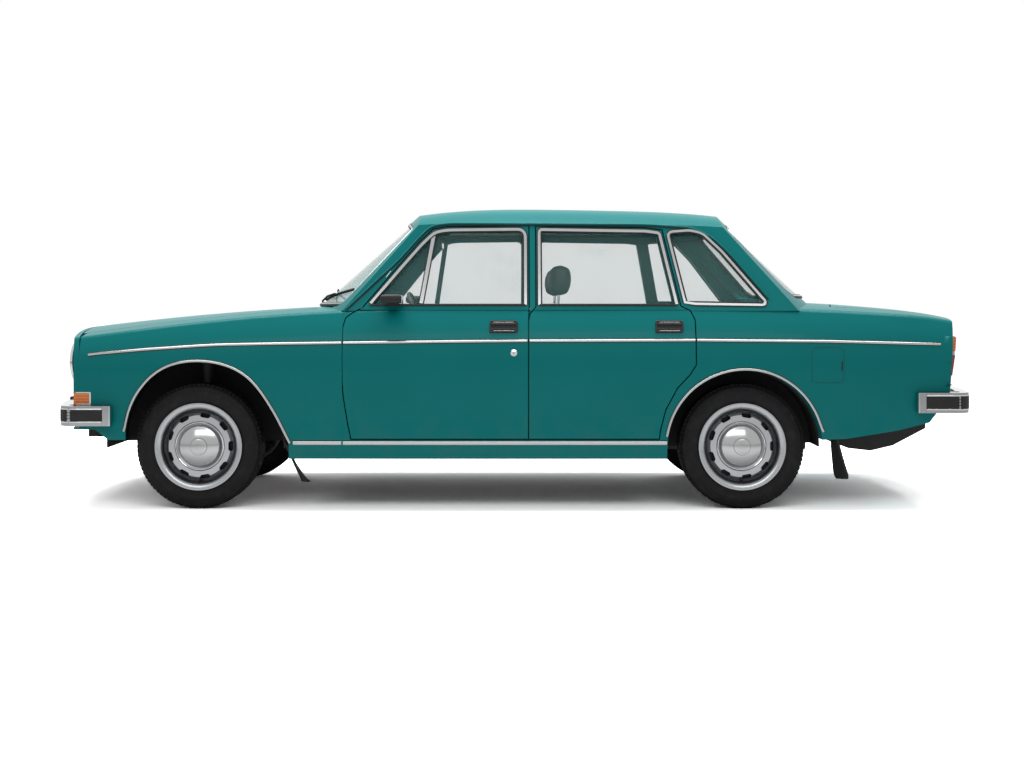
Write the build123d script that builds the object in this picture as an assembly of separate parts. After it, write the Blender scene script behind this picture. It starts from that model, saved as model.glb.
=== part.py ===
from build123d import *
import math
import os

# Driving dimensions of the sedan, in millimetres
WHEELBASE = 2700.0
FRONT_OVERHANG = 780.0
REAR_OVERHANG = 1190.0
HALF_WIDTH = 867.5
TRACK = 1350.0
ROOF_HEIGHT = 1508.0
BELT_HEIGHT = 1003.0
RAIL_HEIGHT = 1426.0
SILL_BOTTOM = 258.0
DOOR_BOTTOM = 356.0

# Wheels and tyres
TYRE_RADIUS = 310.0
TYRE_WIDTH = 165.0
RIM_RADIUS = 216.0
RIM_SEAT_RADIUS = 200.0
RIM_WIDTH = 150.0
HUB_BORE_RADIUS = 33.0
SLOT_COUNT = 9
SLOT_CIRCLE = 154.0
SLOT_LENGTH = 50.0
SLOT_WIDTH = 22.0
CAP_RADIUS = 98.0
CAP_BASE = 35.5
CAP_TOP = 80.0
CAP_RISE = 26.0

# Sheet and wall thicknesses
SHEET = 5.0
LID = 18.0
FRAME = 30.0
FLANGE = 28.0
GLASS = 5.0
LINER = 5.0

# Gaps
SHUT_GAP = 6.0
SEAT_GAP = 0.3
STEP = 36.0
STEP_GAP = 10.0
JACK_RADIUS = 12.0
JACK_DEPTH = 45.0
JACK_Y = 795.0
SWING_ROOM = 12.0
SHOULDER_ROOM = 930.0
HINGE_HEIGHTS = (450.0, 820.0)

LENGTH = FRONT_OVERHANG + WHEELBASE + REAR_OVERHANG
FRONT_AXLE = FRONT_OVERHANG - LENGTH / 2
REAR_AXLE = FRONT_AXLE + WHEELBASE
WHEEL_Y = TRACK / 2
TOP = 2000.0
FAR = 1200.0


def front(distance):
    """X of a point so far behind the front axle."""
    return FRONT_AXLE + distance


def rear(distance):
    """X of a point so far behind the rear axle."""
    return REAR_AXLE + distance


# Where the body is split, as X
COWL = front(400)
COWL_CORNER = front(572)
POST = front(725)
SHUT_B = front(1638)
SHUT_C = rear(-242)
JACK_STATIONS = (front(830), rear(-520))
NOSE = front(-690)
NOSE_CORNER = front(-604)
HEADLAMP_FACE = NOSE + 34
TAIL = rear(1090)
TAIL_CORNER = rear(1036)
BONNET_HALF = 640.0
BOOT_HALF = 610.0
BOOT_FRONT = rear(468)
LAMP_BOTTOM = 640.0
HEADLAMP_Y = 590.0
HEADLAMP_Z = 728.0
HEADLAMP_RADIUS = 92.0
DOME_RADIUS = 240.0
DOME_RISE = 15.0
GRILLE_HALF = 462.0
GRILLE_LOW = 636.0
GRILLE_HIGH = 822.0
GRILLE_FRAME = 18.0
GRILLE_PROUD = 6.0
BAR_PITCH = 22.0
BAR_HALF = 2.2
TANK_HALF = 420.0
LAMP_TOP = 905.0
HUB_HEIGHT = TYRE_RADIUS
INNER = 757.0
CENTRE_STRIP = 500.0
NOSE_SEAM = front(-580)
TAIL_SEAM = rear(940)
FRONT_HOUSE = 436.0
REAR_HOUSE = 382.0
FRONT_HOUSE_INNER = 415.0
REAR_HOUSE_INNER = 540.0
FLOOR = 262.0
FLOOR_THICK = 12.0
BOOT_FLOOR = 500.0
FIREWALL = front(590)
BUMPER_LOW = 421.0
BUMPER_HIGH = 519.0
REAR_BUMPER_LOW = 485.0
REAR_BUMPER_HIGH = 584.0
SEAT_Y = 370.0
TUNNEL = 150.0
STRUT_DROP = 1.4
BUMPER_DEPTH = 46.0
BRACKET_Y = 370.0
LAMP_PANEL = 26.0


def across(face, y_from, y_to):
    """Prism of a face drawn in (x, z), between two Y values."""
    plane = Plane((0, y_to, 0), x_dir=(1, 0, 0), z_dir=(0, -1, 0))
    return extrude(plane * face, amount=y_to - y_from)


def lengthwise(face, x_from, x_to):
    """Prism of a face drawn in (y, z), between two X values."""
    plane = Plane((x_from, 0, 0), x_dir=(0, 1, 0), z_dir=(1, 0, 0))
    return extrude(plane * face, amount=x_to - x_from)


def upward(face, z_from, z_to):
    """Prism of a face drawn in (x, y), between two Z values."""
    return extrude(Plane((0, 0, z_from)) * face, amount=z_to - z_from)


def box(x0, x1, y0, y1, z0, z1):
    """Plain block between opposite corners."""
    return Pos((x0 + x1) / 2, (y0 + y1) / 2, (z0 + z1) / 2) * Box(x1 - x0, y1 - y0, z1 - z0)


def polygon(*points):
    return make_face(Polyline(*points, close=True))


def rounded(face, radius):
    return fillet(face.vertices(), radius)


def shape_of(*edges):
    """Face inside edges that follow one another."""
    return make_face(Curve() + list(edges))


def right_of(shape):
    """The same piece on the car's other side."""
    return mirror(shape, about=Plane.XZ)


def both(shape):
    return [shape, right_of(shape)]


# Stations of the lower body: X, height of the belt moulding, of the shoulder and of the middle
def stations():
    return (
        (front(-770), 757, 832, 888),
        (front(-560), 767, 858, 912),
        (front(0), 797, 928, 968),
        (front(720), 828, 984, 1006),
        (front(1635), 838, BELT_HEIGHT, 1012),
        (rear(-240), 842, BELT_HEIGHT, 1016),
        (rear(290), 838, 992, 1027),
        (rear(700), 830, 972, 1003),
        (rear(1020), 818, 938, 958),
        (rear(1150), 812, 905, 925),
    )


def half_width(x):
    """The flanks draw in towards both ends."""
    draw_in = 62.0
    nose = max(0.0, (front(1500) - x) / (front(1500) - NOSE_CORNER))
    tail = max(0.0, (x - rear(-1000)) / (TAIL_CORNER - rear(-1000)))
    return HALF_WIDTH - draw_in * (nose ** 3 + tail ** 3)


def lower_section(station, inset):
    """Closed outline across the body: flat bottom, bowed flanks, soft shoulders, crowned top."""
    x, belt, shoulder, middle = station
    w = half_width(x) - inset
    lean = 0.45 * (shoulder - belt)
    z_low = 180.0
    edge = shoulder - inset
    side = [(w - 40, z_low), (w - 9, 420), (w, 640), (w - 5, belt), (w - lean, edge - 14)]
    up = (-0.6, 1.0)
    inward = (-1.0, 0.16)
    top_y = w - lean - 24

    def at(y, z):
        return (x, y, z)

    def curve(points, start, end):
        return Spline(*[at(*p) for p in points], tangents=[(0, *start), (0, *end)])

    def flip(points):
        return [(-y, z) for y, z in reversed(points)]

    flank = curve(side, (0.25, 1.0), up)
    turn = [side[-1], (top_y, edge + 2)]
    crown = [turn[-1], (0, middle - inset), (-top_y, edge + 2)]
    return Wire([
        Line(at(-side[0][0], z_low), at(side[0][0], z_low)),
        flank,
        curve(turn, up, inward),
        curve(crown, inward, (-1.0, -0.16)),
        curve(flip(turn), (-1.0, -0.16), (-0.6, -1.0)),
        curve(flip(side), (-0.6, -1.0), (0.25, -1.0)),
    ])


def end_plan(nose, nose_corner, tail, tail_corner):
    """Plan outline whose two ends bow outwards."""
    y = HALF_WIDTH - 62.0
    reach = FAR
    run = (nose_corner - nose) / (y * y)
    nose_far = nose + run * reach * reach
    run = (tail - tail_corner) / (y * y)
    tail_far = tail - run * reach * reach
    return shape_of(
        ThreePointArc((nose_far, -reach), (nose, 0), (nose_far, reach)),
        Line((nose_far, reach), (tail_far, reach)),
        ThreePointArc((tail_far, reach), (tail, 0), (tail_far, -reach)),
        Line((tail_far, -reach), (nose_far, -reach)),
    )


def ends_solid(inset):
    """Everything between the front face and the raked tail."""
    rake = 46.0
    low = end_plan(NOSE + inset, NOSE_CORNER + inset, TAIL - rake - inset, TAIL_CORNER - rake - inset)
    high = end_plan(NOSE + inset, NOSE_CORNER + inset, TAIL - inset, TAIL_CORNER - inset)
    return loft([Pos(0, 0, 150) * low, Pos(0, 0, LAMP_TOP) * high, Pos(0, 0, TOP) * high], ruled=True)


def cabin_plan(screen, screen_corner, back, back_corner, half):
    bow = 12.0
    middle = (screen_corner + back_corner) / 2
    return Wire([
        ThreePointArc((screen_corner, -half), (screen, 0), (screen_corner, half)),
        ThreePointArc((screen_corner, half), (middle, half + bow), (back_corner, half)),
        ThreePointArc((back_corner, half), (back, 0), (back_corner, -half)),
        ThreePointArc((back_corner, -half), (middle, -half - bow), (screen_corner, -half)),
    ])


def roof_section(x, edge, middle, inset):
    half = 628.0 - inset
    reach = 900.0
    low = 850.0

    def at(y, z):
        return (x, y, z - inset)

    points = [at(-half - 2, edge), at(-half + 90, edge + 0.55 * (middle - edge)), at(0, middle)]
    points += [(x, -y, z) for x, y, z in reversed(points[:-1])]
    return Wire([
        Line((x, -reach, low), (x, reach, low)),
        Line((x, reach, low), at(reach, edge - 150)),
        Line(at(reach, edge - 150), at(half + 2, edge)),
        Spline(*reversed(points)),
        Line(at(-half - 2, edge), at(-reach, edge - 150)),
        Line(at(-reach, edge - 150), (x, -reach, low)),
    ])


def roof_top(inset):
    """Everything under the crowned roof."""
    rise = ROOF_HEIGHT
    return Solid.make_loft([
        roof_section(front(430), RAIL_HEIGHT - 106, rise - 172, inset),
        roof_section(front(900), RAIL_HEIGHT - 26, rise - 62, inset),
        roof_section(front(1240), RAIL_HEIGHT - 2, rise - 12, inset),
        roof_section(front(1800), RAIL_HEIGHT, rise, inset),
        roof_section(rear(-350), RAIL_HEIGHT - 6, rise - 14, inset),
        roof_section(rear(150), RAIL_HEIGHT - 44, rise - 72, inset),
        roof_section(rear(560), RAIL_HEIGHT - 130, rise - 190, inset),
    ])


def cabin_level(z, inset):
    """Plan outline of the cabin at one height, with its screens and sides leaning in."""
    share = (z - 1000.0) / 480.0
    half = 782 - 176 * share - 1.06 * inset
    screen = front(502 + 544 * share) + 1.51 * inset
    screen_corner = front(730 + 408 * share) + 1.51 * inset
    back = rear(472 - 523 * share) - 1.48 * inset
    back_corner = rear(262 - 404 * share) - 1.48 * inset
    return Pos(0, 0, z) * cabin_plan(screen, screen_corner, back, back_corner, half)


def cabin_top(inset):
    """Solid inside the screens, side windows and roof, less an inset."""
    return Solid.make_loft([cabin_level(930, inset), cabin_level(1560, inset)], True) & roof_top(inset)


# Side outlines, as (x, z)
def arch_front(grow=0.0):
    """Opening over the front wheel."""
    points = [(-345, 388), (-286, 569), (-164, 691), (32, 732), (227, 676), (374, 500), (462, 334)]
    first = (front(points[0][0]), points[0][1])
    last = (front(points[-1][0]), points[-1][1])
    face = shape_of(
        Spline(*[(front(u), z) for u, z in points]),
        Line(last, (last[0], 100)),
        Line((last[0], 100), (first[0], 100)),
        Line((first[0], 100), first),
    )
    return offset(face, grow) if grow else face


def arch_rear(grow=0.0):
    """Opening over the rear wheel."""
    points = [(-363, 363), (-351, 446), (-273, 578), (-126, 666), (-28, 676), (69, 666), (216, 583),
              (314, 446), (353, 373)]
    first = (rear(points[0][0]), points[0][1])
    last = (rear(points[-1][0]), points[-1][1])
    face = shape_of(
        Spline(*[(rear(u), z) for u, z in points]),
        Line(last, (last[0], 100)),
        Line((last[0], 100), (first[0], 100)),
        Line((first[0], 100), first),
    )
    return offset(face, grow) if grow else face


def side_outline():
    """Lower edge of the body, seen from the side, with everything above."""
    return polygon(
        (front(-900), 400), (front(-500), 400), (front(-430), 349), (front(-345), 349),
        (front(462), SILL_BOTTOM), (rear(-385), SILL_BOTTOM), (rear(353), 350), (rear(500), 356),
        (rear(754), 395), (rear(915), 434), (rear(959), 490), (rear(1400), 500),
        (rear(1400), TOP), (front(-900), TOP),
    )


def front_door_outline():
    return polygon(
        (front(768), DOOR_BOTTOM), (front(752), 430), (front(731), 560), (front(725), 640),
        (front(725), 905), (front(737), 950), (front(767), 974), (front(816), 999),
        (front(997), 1218), (front(1095), 1334), (front(1160), 1396), (front(1230), 1408),
        (SHUT_B + 4, 1412), (SHUT_B + 4, BELT_HEIGHT), (SHUT_B, 930), (SHUT_B, DOOR_BOTTOM),
    )


def rear_door_outline():
    return polygon(
        (SHUT_B, DOOR_BOTTOM), (SHUT_B, 930), (SHUT_B + 8, 970), (SHUT_B + 37, 1003),
        (SHUT_B + 37, 1410), (rear(-470), 1402), (rear(-388), 1391), (rear(-308), 1008),
        (rear(-262), 985), (SHUT_C, 940), (SHUT_C, 720), (rear(-273), 671),
        (rear(-332), 608), (rear(-390), 500), (rear(-416), 400), (rear(-421), DOOR_BOTTOM),
    )


def above_belt(face, base=BELT_HEIGHT + 8):
    reach = LENGTH
    cover = polygon((-reach, base), (reach, base), (reach, TOP), (-reach, TOP))
    return face & cover


def window_of(outline, margin):
    """Window opening inside a door's frame."""
    return above_belt(offset(outline, -margin, kind=Kind.INTERSECTION), BELT_HEIGHT + 10)


def quarter_window():
    return rounded(polygon(
        (rear(-279), 1028), (rear(-352), 1372), (rear(-248), 1380), (rear(-190), 1366),
        (rear(-100), 1277), (rear(86), 1048), (rear(108), 1022),
    ), 14)


def cabin_sides(inset):
    """The leaning sides and screens alone, carried on past the roof."""
    return Solid.make_loft([cabin_level(930, inset), cabin_level(1560, inset)], True)


def screen_face(grow=0.0):
    """Front view of the windscreen opening."""
    side_low, side_high = 712 + grow, 590 + grow
    low, high, peak = 1006 - grow, 1398 + grow, 1446 + grow
    return rounded(shape_of(
        Line((-side_low, low), (side_low, low)),
        Line((side_low, low), (side_high, high)),
        ThreePointArc((side_high, high), (0, peak), (-side_high, high)),
        Line((-side_high, high), (-side_low, low)),
    ), 30)


def back_face(grow=0.0):
    """Rear view of the rear window opening."""
    side_low, side_high = 668 + grow, 562 + grow
    low, high, peak = 1046 - grow, 1396 + grow, 1436 + grow
    return rounded(shape_of(
        Line((-side_low, low), (side_low, low)),
        Line((side_low, low), (side_high, high)),
        ThreePointArc((side_high, high), (0, peak), (-side_high, high)),
        Line((-side_high, high), (-side_low, low)),
    ), 40)


class Body:
    """The big solids that the panels are cut from, made once."""

    def __init__(self):
        self.low = Solid.make_loft([lower_section(s, 0) for s in stations()])
        self.low_sheet = Solid.make_loft([lower_section(s, SHEET) for s in stations()])
        self.low_lid = Solid.make_loft([lower_section(s, LID) for s in stations()])
        self.low_bay = Solid.make_loft([lower_section(s, LID + SHUT_GAP) for s in stations()])
        self.low_seat = Solid.make_loft([lower_section(s, SHEET + SEAT_GAP) for s in stations()])
        self.ends = ends_solid(0)
        self.ends_sheet = ends_solid(SHEET)
        self.ends_lid = ends_solid(LID)
        self.top = cabin_top(0)
        self.outline = across(side_outline(), -FAR, FAR)
        self.arches = across(arch_front(), -FAR, FAR) + across(arch_rear(), -FAR, FAR)


def flank_core(depth):
    """Straight prism that lies so far inside the doors' outer skin."""
    w = HALF_WIDTH - depth
    half = [(w - 44, 100), (w - 12, 420), (w - 2, 640), (w - 9, 838), (w - 40, 935), (w - 84, BELT_HEIGHT + 2)]
    points = half + [(-y, z) for y, z in reversed(half)]
    return lengthwise(polygon(*points), POST - 60, rear(400))


def cabin_core(depth):
    """Straight prism so far inside the leaning side windows."""
    low = 782 - 1.06 * depth
    high = 606 - 1.06 * depth
    share = (1560 - 1000) / 480
    top = low + (high - low) * share
    base = low + (high - low) * (960 - 1000) / 480
    points = [(-base, 960), (base, 960), (top, 1560), (-top, 1560)]
    return lengthwise(polygon(*points), POST - 60, rear(600))


def cabin_space():
    """The hollow of the cabin, between the screens and under the roof lining."""
    lean = 60.0
    low = box(front(520), rear(330), -INNER, INNER, 100, SHOULDER_ROOM)
    low = low + box(front(802), rear(62), -INNER, INNER, SHOULDER_ROOM - 1, BELT_HEIGHT)
    low = low + box(front(790), rear(190), -700, 700, BELT_HEIGHT - 20, BELT_HEIGHT + 20)
    half = BONNET_HALF + SHUT_GAP
    low = low + box(front(520), front(803), -half, half, SHOULDER_ROOM - 1, BELT_HEIGHT + 20)
    side_view = polygon(
        (front(760), BELT_HEIGHT - 40), (front(802), BELT_HEIGHT), (front(1150), 1392), (front(1250), 1440),
        (rear(-260), 1432), (rear(-160), 1392), (rear(190), BELT_HEIGHT + 30), (rear(190), BELT_HEIGHT - 40),
    )
    ceiling = lengthwise(shape_of(
        Line((-700, 900), (700, 900)), Line((700, 900), (700, 1386)),
        ThreePointArc((700, 1386), (0, 1478), (-700, 1386)), Line((-700, 1386), (-700, 900)),
    ), -LENGTH, LENGTH)
    high = across(side_view, -FAR, FAR) & cabin_core(lean) & ceiling
    return low + high


def door_space(outline, gap):
    """Full outline through the outer skin, with a step inwards behind the door's flange."""
    face = offset(outline, gap, kind=Kind.INTERSECTION)
    core = offset(outline, gap - STEP, kind=Kind.INTERSECTION)
    rim = across(face, -FAR, 0)
    low = rim & box(-LENGTH, LENGTH, -FAR, 0, 0, BELT_HEIGHT + 2)
    low = low - flank_core(FLANGE + STEP_GAP)
    high = rim & box(-LENGTH, LENGTH, -FAR, 0, BELT_HEIGHT + 2, TOP)
    high = high - cabin_core(FRAME + STEP_GAP)
    through = across(core, -FAR, 0)
    return low + high + through


def door(body, outline):
    """Door as thick as the wall, with a thin flange all round and a framed window."""
    face = offset(outline, -SHUT_GAP / 2, kind=Kind.INTERSECTION)
    core = offset(outline, -STEP - SWING_ROOM, kind=Kind.INTERSECTION)
    below = box(-LENGTH, LENGTH, -FAR, 0, 0, BELT_HEIGHT)
    flange = (body.low & (across(face, -FAR, 0) & below)) - flank_core(FLANGE)
    thick = body.low & (across(core, -FAR, -INNER) & below)
    frame = (body.top & across(above_belt(face, 990), -FAR, 0)) - cabin_core(FRAME)
    window = across(window_of(outline, 26), -FAR, 0)
    return flange + thick + frame - window


def door_glass(outline):
    """Pane in the middle of the window frame."""
    pane = across(window_of(outline, 26 + SEAT_GAP), -FAR, 0)
    return (cabin_core(12) & pane) - cabin_core(12 + GLASS)


def boot_space():
    """The boot's open inside, with the parcel shelf's side left standing."""
    return box(rear(330), rear(1040), -690, 690, BOOT_FLOOR, 930)


def boot_outline(gap):
    """Boot lid seen from above, its front edge bowed with the rear window."""
    half = BOOT_HALF + gap
    bow = 70.0
    corner = BOOT_FRONT - gap * (1 + 2 * bow / BOOT_HALF)
    return shape_of(
        ThreePointArc((corner, -half), (BOOT_FRONT + bow - gap, 0), (corner, half)),
        Line((corner, half), (LENGTH, half)),
        Line((LENGTH, half), (LENGTH, -half)),
        Line((LENGTH, -half), (corner, -half)),
    )


def boot_lid(body):
    """Lid with its turned down tail."""
    cover = body.low & upward(boot_outline(0), LAMP_BOTTOM, TOP) & body.ends
    return cover - (body.low_lid & body.ends_lid)


def bonnet_outline(gap):
    half = BONNET_HALF + gap
    nose = NOSE + 34 - gap
    nose_corner = NOSE_CORNER + 2 - gap
    cowl_corner = COWL_CORNER + gap * (1 + 2 * (COWL_CORNER - COWL) / BONNET_HALF)
    return shape_of(
        ThreePointArc((nose_corner, -half), (nose, 0), (nose_corner, half)),
        Line((nose_corner, half), (cowl_corner, half)),
        ThreePointArc((cowl_corner, half), (COWL + gap, 0), (cowl_corner, -half)),
        Line((cowl_corner, -half), (nose_corner, -half)),
    )


def bonnet(body):
    cover = body.low & upward(bonnet_outline(0), 600, TOP)
    return cover - body.low_lid


def wing(body):
    """Front wing pressing: flank, arch, top ledge and front corner."""
    region = box(front(-900), POST - SEAT_GAP, -FAR, 0, 0, TOP) & body.outline
    solid = body.low & region & body.ends
    solid = solid - body.low_sheet
    solid = solid - upward(bonnet_outline(SHUT_GAP), 300, TOP)
    solid = solid - across(arch_front(), -FAR, 0) - cowl_region(SEAT_GAP)
    return solid - box(-LENGTH, NOSE_SEAM + SEAT_GAP, -FAR, FAR, 0, TOP) - indicator_space()


def cowl_region(gap):
    """Space of the cowl panel between bonnet and windscreen."""
    half = BONNET_HALF + SHUT_GAP + gap
    return box(COWL - 40, POST + 120, -half, half, 700, TOP)


def body_side(body):
    """Sill, pillars, roof rail and rear wing as one pressing with its inner walls."""
    region = box(POST, LENGTH, -FAR, 0, 0, TOP) & body.outline
    low = body.low & region & body.ends
    top = body.top & box(front(600), LENGTH, -FAR, 0, 985, RAIL_HEIGHT - 4)
    top = top - (body.low & box(-LENGTH, POST, -FAR, 0, 0, TOP))
    side = low + top - cabin_space()
    side = side - door_space(front_door_outline(), SHUT_GAP / 2)
    side = side - door_space(rear_door_outline(), SHUT_GAP / 2)
    side = side - across(quarter_window(), -FAR, 0)
    side = side - lengthwise(screen_face(), -LENGTH, 0) - lengthwise(back_face(), 0, LENGTH)
    side = side - upward(boot_outline(SHUT_GAP), LAMP_BOTTOM - SHUT_GAP, TOP) - boot_space()
    side = side - across(arch_rear(), -FAR, 0) - wheelhouse_space(REAR_AXLE, REAR_HOUSE, REAR_HOUSE_INNER)
    side = side - tail_region() - box(-LENGTH, LENGTH, -CENTRE_STRIP, 0, 0, TOP)
    for edge in (POST, SHUT_B):
        x0 = edge + STEP - SHUT_GAP / 2
        for z in HINGE_HEIGHTS:
            side = side + box(x0 - 2, edge + STEP + SWING_ROOM - SEAT_GAP, -815, -775, z - 30, z + 30)
    for x in JACK_STATIONS:
        side = side - Pos(x, -JACK_Y, 0) * Cylinder(JACK_RADIUS, 2 * (SILL_BOTTOM + JACK_DEPTH))
    return side


def wheelhouse_space(axle, radius, inner):
    """Room for a wheel, from the flank inwards, with a flat mouth below."""
    drum = Pos(axle, 0, HUB_HEIGHT) * Rot(90, 0, 0) * Cylinder(radius, FAR, align=(Align.CENTER, Align.CENTER, Align.MIN))
    drum = drum + box(axle - radius, axle + radius, -FAR, 0, 0, HUB_HEIGHT)
    return drum - box(-LENGTH, LENGTH, -inner, FAR, -TOP, TOP)


def tail_region():
    """Space of the rear panel between and under the lamps."""
    return box(TAIL_SEAM, LENGTH, -FAR, FAR, 0, LAMP_TOP)


def roof(body):
    """Roof skin with both window headers."""
    cap = body.top & box(-LENGTH, LENGTH, -FAR, FAR, RAIL_HEIGHT - 4 + SEAT_GAP, TOP)
    cap = cap - cabin_space()
    return cap - lengthwise(screen_face(), -LENGTH, 0) - lengthwise(back_face(), 0, LENGTH)


def rod_along_x(x0, x1, y, z, radius):
    """Round bar that runs lengthwise."""
    bar = Cylinder(radius, x1 - x0, align=(Align.CENTER, Align.CENTER, Align.MIN))
    return Pos(x0, y, z) * Rot(0, 90, 0) * bar


def cowl(body):
    """Panel under the windscreen and the bulkhead below it."""
    half = BONNET_HALF + SHUT_GAP - SEAT_GAP
    deck = body.low & box(COWL - 40, front(790), -half, half, 700, TOP)
    deck = deck - body.low_lid - upward(bonnet_outline(SHUT_GAP), 600, TOP)
    deck = deck - lengthwise(screen_face(), -LENGTH, 0) & box(-LENGTH, front(790), -FAR, FAR, 0, TOP)
    wall = body.low_lid & box(FIREWALL, FIREWALL + 12, -half, half, FLOOR, TOP)
    wall = wall - box(FIREWALL - 1, FIREWALL + 13, -TUNNEL, TUNNEL, 0, FLOOR + TUNNEL)
    hinge = box(front(530), front(600), -615, -585, 962, 986) - upward(bonnet_outline(SEAT_GAP), 600, TOP)
    return deck + wall + hinge + right_of(hinge)


def floor_pan(body):
    """Floor, tunnel, rear seat step, boot floor, front rails and wheelhouses."""
    side = INNER - SEAT_GAP
    t = FLOOR_THICK
    cabin = box(FIREWALL + 12 + SEAT_GAP, rear(-400), -side, side, FLOOR, FLOOR + t)
    step = box(rear(-412), rear(-400), -side, side, FLOOR, BOOT_FLOOR)
    raised = box(rear(-400), TAIL_SEAM - SEAT_GAP, -CENTRE_STRIP + SEAT_GAP, CENTRE_STRIP - SEAT_GAP, BOOT_FLOOR - t, BOOT_FLOOR)
    shelf = box(rear(-412), rear(330 - SEAT_GAP), -REAR_HOUSE_INNER, REAR_HOUSE_INNER, BOOT_FLOOR - t, BOOT_FLOOR)
    pan = cabin + step + raised + shelf
    x0, x1 = FIREWALL + 12 + SEAT_GAP, rear(-412)
    hump = rod_along_x(x0, x1, 0, FLOOR, TUNNEL) & box(-LENGTH, LENGTH, -FAR, FAR, FLOOR, TOP)
    hollow = rod_along_x(x0 - 1, x1 + 13, 0, FLOOR, TUNNEL - 10)
    pan = pan + hump - hollow
    behind = ends_solid(LAMP_PANEL + SEAT_GAP)
    rail = box(front(-700), FIREWALL - SEAT_GAP, -410, -330, 330, 450) & behind
    plate = box(front(-560), FIREWALL - SEAT_GAP, -415, -410, 330, TOP) & body.low_bay
    house = house_shell(front(0), FRONT_HOUSE, LINER, 410, 830, HUB_HEIGHT) & body.low_seat
    rear_house = house_shell(rear(0), REAR_HOUSE - LINER - SEAT_GAP, LINER, REAR_HOUSE_INNER + SEAT_GAP,
                             side, HUB_HEIGHT)
    rear_house = rear_house - box(rear(-70), rear(70), -560, -530, 0, HUB_HEIGHT + 60)
    half = rail + plate + house + rear_house
    return pan + half + right_of(half)


def house_shell(axle, radius, thick, y_in, y_out, z_low):
    """Half round wheelhouse with its inner wall, on the left."""
    def drum(r, y0, y1):
        turned = Rot(90, 0, 0) * Cylinder(r, y1 - y0, align=(Align.CENTER, Align.CENTER, Align.MIN))
        return Pos(axle, -y0, HUB_HEIGHT) * turned
    solid = drum(radius + thick, y_in, y_out) - drum(radius, y_in + thick, y_out + 1)
    return solid & box(-LENGTH, LENGTH, -FAR, 0, z_low, TOP)


def front_panel(body):
    """Lamp panel across the nose with the grille between the headlamps."""
    face = body.low & body.outline & box(-LENGTH, NOSE_SEAM, -FAR, FAR, 400, TOP) & body.ends
    inner = ends_solid(LAMP_PANEL)
    face = face - (inner & box(-LENGTH, LENGTH, -FAR, FAR, 0, TOP))
    face = face - upward(bonnet_outline(SHUT_GAP), 300, TOP)
    drum = rod_along_x(NOSE - 60, NOSE_SEAM, -HEADLAMP_Y, HEADLAMP_Z, HEADLAMP_RADIUS)
    face = face - drum - right_of(drum)
    face = face - box(-LENGTH, 0, -GRILLE_HALF, GRILLE_HALF, GRILLE_LOW, GRILLE_HIGH)
    face = face - box(-LENGTH, 0, -FAR, FAR, BUMPER_LOW - 12, BUMPER_HIGH + 6)
    return face - indicator_space() - right_of(indicator_space())


def indicator_space():
    """Notch for the corner indicator, over the bumper's end."""
    return box(front(-800), front(-519), -FAR, -690, BUMPER_HIGH, 584)


def grille():
    """Bright frame bowed with the nose, with fine upright bars and one cross bar."""
    half, low, high = GRILLE_HALF - SEAT_GAP, GRILLE_LOW + SEAT_GAP, GRILLE_HIGH - SEAT_GAP
    inner = half - GRILLE_FRAME
    skin = ends_solid(-GRILLE_PROUD) - ends_solid(LAMP_PANEL - 4)
    frame = box(NOSE - 60, NOSE_SEAM, -half, half, low, high)
    frame = frame - box(-LENGTH, 0, -inner, inner, low + GRILLE_FRAME, high - GRILLE_FRAME)
    middle = (low + high) / 2
    bars = box(NOSE - 60, NOSE_SEAM, -inner, inner, middle - BAR_HALF, middle + BAR_HALF)
    count = int(inner // BAR_PITCH)
    for step in range(-count, count + 1):
        y = step * BAR_PITCH
        bars = bars + box(NOSE - 60, NOSE_SEAM, y - BAR_HALF, y + BAR_HALF, low, high)
    return (skin & frame) + (ends_solid(GRILLE_PROUD) & skin & bars)


def headlamps():
    """Round lamps with domed glasses, set through the lamp panel."""
    drum = rod_along_x(HEADLAMP_FACE, HEADLAMP_FACE + 90, -HEADLAMP_Y, HEADLAMP_Z, HEADLAMP_RADIUS - SEAT_GAP)
    glass = rod_along_x(HEADLAMP_FACE - 40, HEADLAMP_FACE + 1, -HEADLAMP_Y, HEADLAMP_Z, HEADLAMP_RADIUS - 9)
    ball = Pos(HEADLAMP_FACE - DOME_RISE + DOME_RADIUS, -HEADLAMP_Y, HEADLAMP_Z) * Sphere(DOME_RADIUS)
    return both(drum + (glass & ball))


def rear_panel(body):
    """Panel between the rear wings, under the boot lid."""
    face = body.low & body.outline & body.ends & box(TAIL_SEAM, LENGTH, -FAR, FAR, 430, LAMP_TOP)
    face = face - upward(boot_outline(SHUT_GAP), LAMP_BOTTOM - SHUT_GAP, TOP)
    hollow = box(TAIL_SEAM - 1, TAIL - 75, -590, 590, BOOT_FLOOR + 4, TOP)
    for sign in (-1, 1):
        lamp = box(TAIL - 100, LENGTH, *sorted((sign * 640, sign * FAR)), 610, 860)
        face = face - lamp
    return face - hollow


def tail_lamps(body):
    lens = body.low & body.ends & box(TAIL - 100 + SEAT_GAP, LENGTH, -FAR, -640 - SEAT_GAP, 610 + SEAT_GAP, 860 - SEAT_GAP)
    return both(lens)


def indicators(body):
    lens = body.low & body.ends & box(front(-800), front(-519) - SEAT_GAP, -FAR, -690 - SEAT_GAP,
                                      BUMPER_HIGH + SEAT_GAP, 584 - SEAT_GAP)
    return both(lens)


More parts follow.
